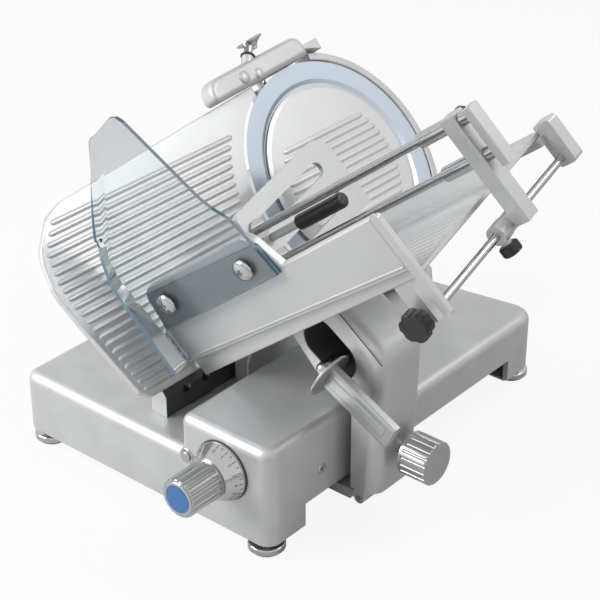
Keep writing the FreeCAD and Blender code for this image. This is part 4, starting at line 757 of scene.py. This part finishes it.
DIAL_FOOT = np.array([41.0, 5.0])
DIAL_TOP = np.array([30.0, 27.0])
DIAL_SLANT = float(np.linalg.norm(DIAL_TOP - DIAL_FOOT))
DIAL_SHARE = 0.94
MARK_COUNT = 30
MARK_START, LONG_MARK, SHORT_MARK = 1.5, 5.5, 3.5
MARK_HALF, MARK_RADIUS = 0.45, 39
MARK_RING = np.array([[-1, -0.3], [1, -0.3], [1, 0.12], [-1, 0.12]])
NUMBER_COUNT = 15
NUMBER_SIZE, NUMBER_THICK = 7.0, 0.14
NUMBER_RADIUS, NUMBER_FOOT = 35.5, 8.6


def on_dial(turn, slant, proud):
    """Points on the dial's cone: angle clockwise from its top, length up its slope, height."""
    way = (DIAL_TOP - DIAL_FOOT) / DIAL_SLANT
    radius = DIAL_FOOT[0] + slant * way[0] + proud * way[1]
    height = DIAL_FOOT[1] + slant * way[1] - proud * way[0]
    return np.stack([radius * np.sin(turn), radius * np.cos(turn), height + 0 * turn], axis=-1)


def mark_turn(count):
    """The angle of a mark: equal steps over a share of the full turn."""
    return 2 * math.pi * count / MARK_COUNT * DIAL_SHARE


def dial_marks():
    """Lines up the dial's cone, long ones at the numbers: four-cornered bars from foot to end."""
    grids = []
    for count in range(MARK_COUNT):
        length = LONG_MARK if count % 2 == 0 else SHORT_MARK
        slant = np.array([MARK_START, MARK_START + length])[:, None]
        turn = mark_turn(count) + MARK_RING[None, :, 0] * MARK_HALF / MARK_RADIUS
        grids.append(on_dial(turn, slant, MARK_RING[None, :, 1]))
    solid("dial_marks", "dial", INK, DIAL, grids, 30)


def dial_numbers():
    """Numbers at every second mark: flat letters, width as angle and height as slope."""
    points, faces = [], []
    for number in range(NUMBER_COUNT):
        text = bpy.data.curves.new("number", "FONT")
        text.body = str(number)
        text.size = NUMBER_SIZE
        text.align_x = "CENTER"
        text.extrude = NUMBER_THICK
        text.resolution_u = 4
        holder = bpy.data.objects.new("number", text)
        flat = bpy.data.meshes.new_from_object(holder)
        corners = np.empty(len(flat.vertices) * 3)
        flat.vertices.foreach_get("co", corners)
        x, y, z = corners.reshape(-1, 3).T
        first = len(points)
        points += on_dial(mark_turn(2 * number) + x / NUMBER_RADIUS, NUMBER_FOOT + y, z).tolist()
        faces += [[first + index for index in polygon.vertices] for polygon in flat.polygons]
        bpy.data.objects.remove(holder)
        bpy.data.curves.remove(text)
        bpy.data.meshes.remove(flat)
    mesh = bpy.data.meshes.new("dial_numbers")
    mesh.from_pydata(DIAL.metres(points).tolist(), [], faces)
    mesh.materials.append(INK)
    settle("dial_numbers", mesh, "dial")


KNOB_FACE = DIAL.at((0, 0, 82))
BUTTON = LEVEL.at((104, CASTING_FRONT, 112), (0, -1, 0))
LOCK = LEVEL.at((244, -220, 100), (1, 0, 0))
# Name, body, finish, axes, profile of (radius, height), slot.
TURNED_TRIM = [
    # The dial's foot ring is partly a black gasket and partly painted shade of the gap round the
    # dial's foot.
    ("dial_foot_ring", "dial", SEAM_SHADE, DIAL,
     [(30, 0.35), (42.2, 0.35), (42.2, 1.4), (41.5, 1.6), (30, 1.6)], "black_plastic"),
    ("knob_rim", "dial", CHROME, KNOB_FACE,
     [(19.2, -0.4), (23.5, -0.4), (23.5, 0.7), (22.6, 1.5), (20.2, 1.8), (19.2, 1.5),
      (19.2, -0.4)], "chrome"),
    ("button_collar", "base", CHROME, BUTTON,
     [(7.1, -0.3), (11.5, -0.3), (11.5, 0.9), (10.8, 1.6), (8.0, 1.6), (7.1, 1.0),
      (7.1, -0.3)], "chrome"),
    ("side_lock", "base", CHROME, LOCK,
     [(7.5, -1), (7.5, 0.8), (6.8, 1.5), (4.0, 1.5), (3.6, 1.1), (0.1, 1.1)], "chrome"),
]


def control_trim():
    """Turned rings and discs round the controls, and the slit of the lock on the side, a dark disc
    of painted shade.
    """
    for name, body, look, axes, profile, slot in TURNED_TRIM:
        solid(name, body, look, axes, [turned(profile)])
    # The slit is painted shade: a dark disc on the lock's face, not a cut.
    slit = slab(pill(2.6, 0.7), (1.0, 1.35))[..., [0, 2, 1]]
    solid("side_lock_slit", "base", SEAM_SHADE, LOCK, [slit])


# ---------------------------------------------------------------- blade sharpener

GRIP_FOOT = np.array([14.0, -68.0, 209.5])
GRIP_HEAD = np.array([14.0, -45.0, 233.0])
FLARE_NECK, FLARE_GROWTH, FLARE_POWER = 6.6, 12.4, 2.2
FLARE_LOW, FLARE_HEIGHT = -13, 11.5
FOOT_RING = [(9.05, 6.2), (10.4, 6.2), (10.8, 6.6), (10.8, 8.6), (10.2, 9.4), (9.05, 9.4),
             (9.05, 6.2)]


def sharpener_grip():
    """The flared knob on its leaning stem, both turned; the flare grows as a power of height."""
    lean = GRIP_HEAD - GRIP_FOOT
    length = float(np.linalg.norm(lean))
    stem = [(6.8, 9.9), (7, 10.2), (6.4, 14), (6.2, length - 12), (6.6, length - 7)]
    flare = [(FLARE_NECK + FLARE_GROWTH * share ** FLARE_POWER, FLARE_LOW + FLARE_HEIGHT * share)
             for share in np.linspace(0, 1, 9)]
    head = [(0.2, -14), (5.0, -14)] + flare
    head += [(20.4, -0.6), (20.8, 0.4), (20.2, 1.5), (18, 2.1), (8, 2.6), (0.2, 2.7)]
    grids = [carried(turned(stem), GRIP_FOOT, lean), carried(turned(head), GRIP_HEAD, (0, 0, 1))]
    solid("sharpener_grip_knob", "sharpener_grip", CHROME, SHARP, grids, 35,
          "sharpener_knob")
    foot = carried(turned(FOOT_RING), GRIP_FOOT, lean)
    solid("sharpener_foot_ring", "sharpener", BLACK, SHARP, [foot])


# ---------------------------------------------------------------- small fasteners and trim

BRACKET_SCREW = (452.0, -104.2, -58.3)
PLATE_SCREWS = [(-180, -200), (-180, 150), (0, -296), (0, 250), (150, -296), (150, 252)]
PLATE_UNDERSIDE = 25.0
# Place along y and z, radius and height.
SHELL_BUMPS = [(-101.0, 190.0, 9.5, 4.5), (-72.0, 185.0, 8.0, 4.0)]
SHELL_FACE = 26.0


def button_head(radius, height):
    """Rings of a domed screw head: a short rim, a dome over it, and a six-sided socket."""
    profile = [(radius, -0.3), (radius, 0.4)]
    profile += [(part, 0.4 + rise) for part, rise in dome(radius, height)[1:-3]]
    profile += [(radius * 0.42, height + 0.2), (radius * 0.4, height * 0.4), (0.1, height * 0.4)]
    return six_sided(turned(profile, SMALL_TURN_STEPS), SOCKET_RINGS)


def fasteners():
    """Screws of the far bracket and the bottom sheet, and two bumps on the sharpener's cover."""
    bracket = carried(button_head(5.0, 2.4), BRACKET_SCREW, (1, 0, 0))
    solid("far_bracket_screw", "tray_arm", CHROME, TRAY, [bracket], 30)
    under = [carried(button_head(6.0, 2.2), (x, y, PLATE_UNDERSIDE), (0, 0, -1))
             for x, y in PLATE_SCREWS]
    solid("bottom_plate_screws", "base", CHROME, LEVEL, under, 30)
    bumps = []
    for y, z, radius, height in SHELL_BUMPS:
        profile = [(radius, -1.0), (radius, 0.0)] + dome(radius, height, 12)[1:]
        bumps.append(carried(turned(profile, SMALL_TURN_STEPS), (SHELL_FACE, y, z), (1, 0, 0)))
    solid("sharpener_bumps", "sharpener", CASTING, SHARP, bumps, 60)


BEAD_PATH = [(7.0, -441.0, -23.5), (200.0, -441.0, -29.5), (437.0, -441.0, -36.5)]
BEAD_HALF, BEAD_RISE, BEAD_SINK = 1.8, 1.5, 0.3


def wall_bead():
    """The folded edge along the foot of the tray's wall: a half round along a path."""
    turn = np.linspace(0, math.pi, 9)
    round_side = np.stack([BEAD_HALF * np.cos(turn), BEAD_RISE * np.sin(turn)], axis=-1)
    flat_side = [[-BEAD_HALF, -BEAD_SINK], [BEAD_HALF, -BEAD_SINK]]
    bead = swept(BEAD_PATH, np.concatenate([round_side, flat_side]), (0, 0, 1), (0, -1, 0))
    solid("wall_bead", "tray_arm", SHEET, TRAY, [bead], 50)


# ---------------------------------------------------------------- floor, light and camera

FLOOR_HALF = 6000.0
FLOOR_LIFT = 0.9
FLOOR_TONE = (0.86, 0.86, 0.86, 1)
WHITE = (1, 1, 1, 1)
FILL, BACKDROP = 0.3, 1.0
LAMP_AIM = (0, 0, 150)
# Name, place, size in metres, power in watts.
LAMPS = [("front_box", (-1300, -1900, 1500), 1.6, 66), ("rear_box", (1000, 850, 1900), 1.2, 15)]


def ground():
    """A wide pale floor, lifted towards white for the camera alone, so that shadows stay."""
    far = FLOOR_HALF
    corners = [(-far, -far, 0), (far, -far, 0), (far, far, 0), (-far, far, 0)]
    mesh = bpy.data.meshes.new("floor")
    mesh.from_pydata(LEVEL.metres(corners).tolist(), [], [(0, 1, 2, 3)])
    pale = bpy.data.materials.new("pale_floor")
    pale.use_nodes = True
    tree, shader = shader_of(pale)
    shader.inputs["Base Color"].default_value = FLOOR_TONE
    shader.inputs["Roughness"].default_value = 0.9
    shader.inputs["Specular IOR Level"].default_value = 0.0
    white = node(tree, "ShaderNodeEmission", Color=WHITE, Strength=1.0)
    path = tree.nodes.new("ShaderNodeLightPath")
    lift = tree.nodes.new("ShaderNodeMath")
    lift.operation = "MULTIPLY"
    lift.inputs[1].default_value = FLOOR_LIFT
    wire(tree, path.outputs["Is Camera Ray"], lift.inputs[0])
    mix = tree.nodes.new("ShaderNodeMixShader")
    wire(tree, lift.outputs[0], mix.inputs["Fac"])
    wire(tree, shader.outputs[0], mix.inputs[1])
    wire(tree, white.outputs[0], mix.inputs[2])
    wire(tree, mix.outputs[0], tree.nodes["Material Output"].inputs["Surface"])
    mesh.materials.append(pale)
    floor = linked("floor", mesh)


def soft_lamp(name, place, size, power):
    """A square soft box that faces the machine."""
    data = bpy.data.lights.new(name, "AREA")
    data.shape = "SQUARE"
    data.size = size
    data.energy = power
    lamp = linked(name, data)
    here, there = Vector(LEVEL.metres(place)), Vector(LEVEL.metres(LAMP_AIM))
    turn = (there - here).to_track_quat("-Z", "Y").to_matrix().to_4x4()
    lamp.matrix_world = Matrix.Translation(here) @ turn


def light():
    """A dim white world that is bright where it is seen, mirrored or looked through, and lamps."""
    world = bpy.data.worlds.new("studio")
    bpy.context.scene.world = world
    world.use_nodes = True
    tree = world.node_tree
    tree.nodes.clear()
    out = tree.nodes.new("ShaderNodeOutputWorld")
    fill = node(tree, "ShaderNodeBackground", Color=WHITE, Strength=FILL)
    seen = node(tree, "ShaderNodeBackground", Color=WHITE, Strength=BACKDROP)
    path = tree.nodes.new("ShaderNodeLightPath")
    any_of = path.outputs["Is Camera Ray"]
    for other in ("Is Transmission Ray", "Is Glossy Ray"):
        either = tree.nodes.new("ShaderNodeMath")
        either.operation = "MAXIMUM"
        wire(tree, any_of, either.inputs[0])
        wire(tree, path.outputs[other], either.inputs[1])
        any_of = either.outputs[0]
    mix = tree.nodes.new("ShaderNodeMixShader")
    wire(tree, any_of, mix.inputs["Fac"])
    wire(tree, fill.outputs[0], mix.inputs[1])
    wire(tree, seen.outputs[0], mix.inputs[2])
    wire(tree, mix.outputs[0], out.inputs["Surface"])
    for name, place, size, power in LAMPS:
        soft_lamp(name, place, size, power)


VIEW_TURN = math.radians(40.05)
VIEW_RISE = math.radians(29.72)
CAMERA_PLACE = (1475.0, -1728.0, 1460.0)
FOCAL_PIXELS = 1842.0
PICTURE_PIXELS = 600.0
SENSOR = 36.0
CLIP_END = 50


def camera():
    """The camera stands at the operator's right, above the machine, and looks down at it."""
    data = bpy.data.cameras.new("camera")
    data.sensor_width = SENSOR
    data.sensor_fit = "HORIZONTAL"
    data.lens = FOCAL_PIXELS / PICTURE_PIXELS * SENSOR
    data.clip_end = CLIP_END
    eye = linked("camera", data)
    flat = math.cos(VIEW_RISE)
    right = Vector((math.cos(VIEW_TURN), math.sin(VIEW_TURN), 0))
    back = Vector((math.sin(VIEW_TURN) * flat, -math.cos(VIEW_TURN) * flat, math.sin(VIEW_RISE)))
    turn = Matrix((right, back.cross(right), back)).transposed().to_4x4()
    eye.matrix_world = Matrix.Translation(Vector(LEVEL.metres(CAMERA_PLACE))) @ turn
    bpy.context.scene.camera = eye


# ---------------------------------------------------------------- all together

dress_nodes()
gauge_ribs()
cover_ribs()
floor_ribs()
guard_sheet()
guard_fixings()
recess_lining()
column_seam()
handle_details()
dial_marks()
dial_numbers()
control_trim()
sharpener_grip()
fasteners()
wall_bead()
ground()
light()
camera()
bpy.context.scene.view_settings.view_transform = "Standard"
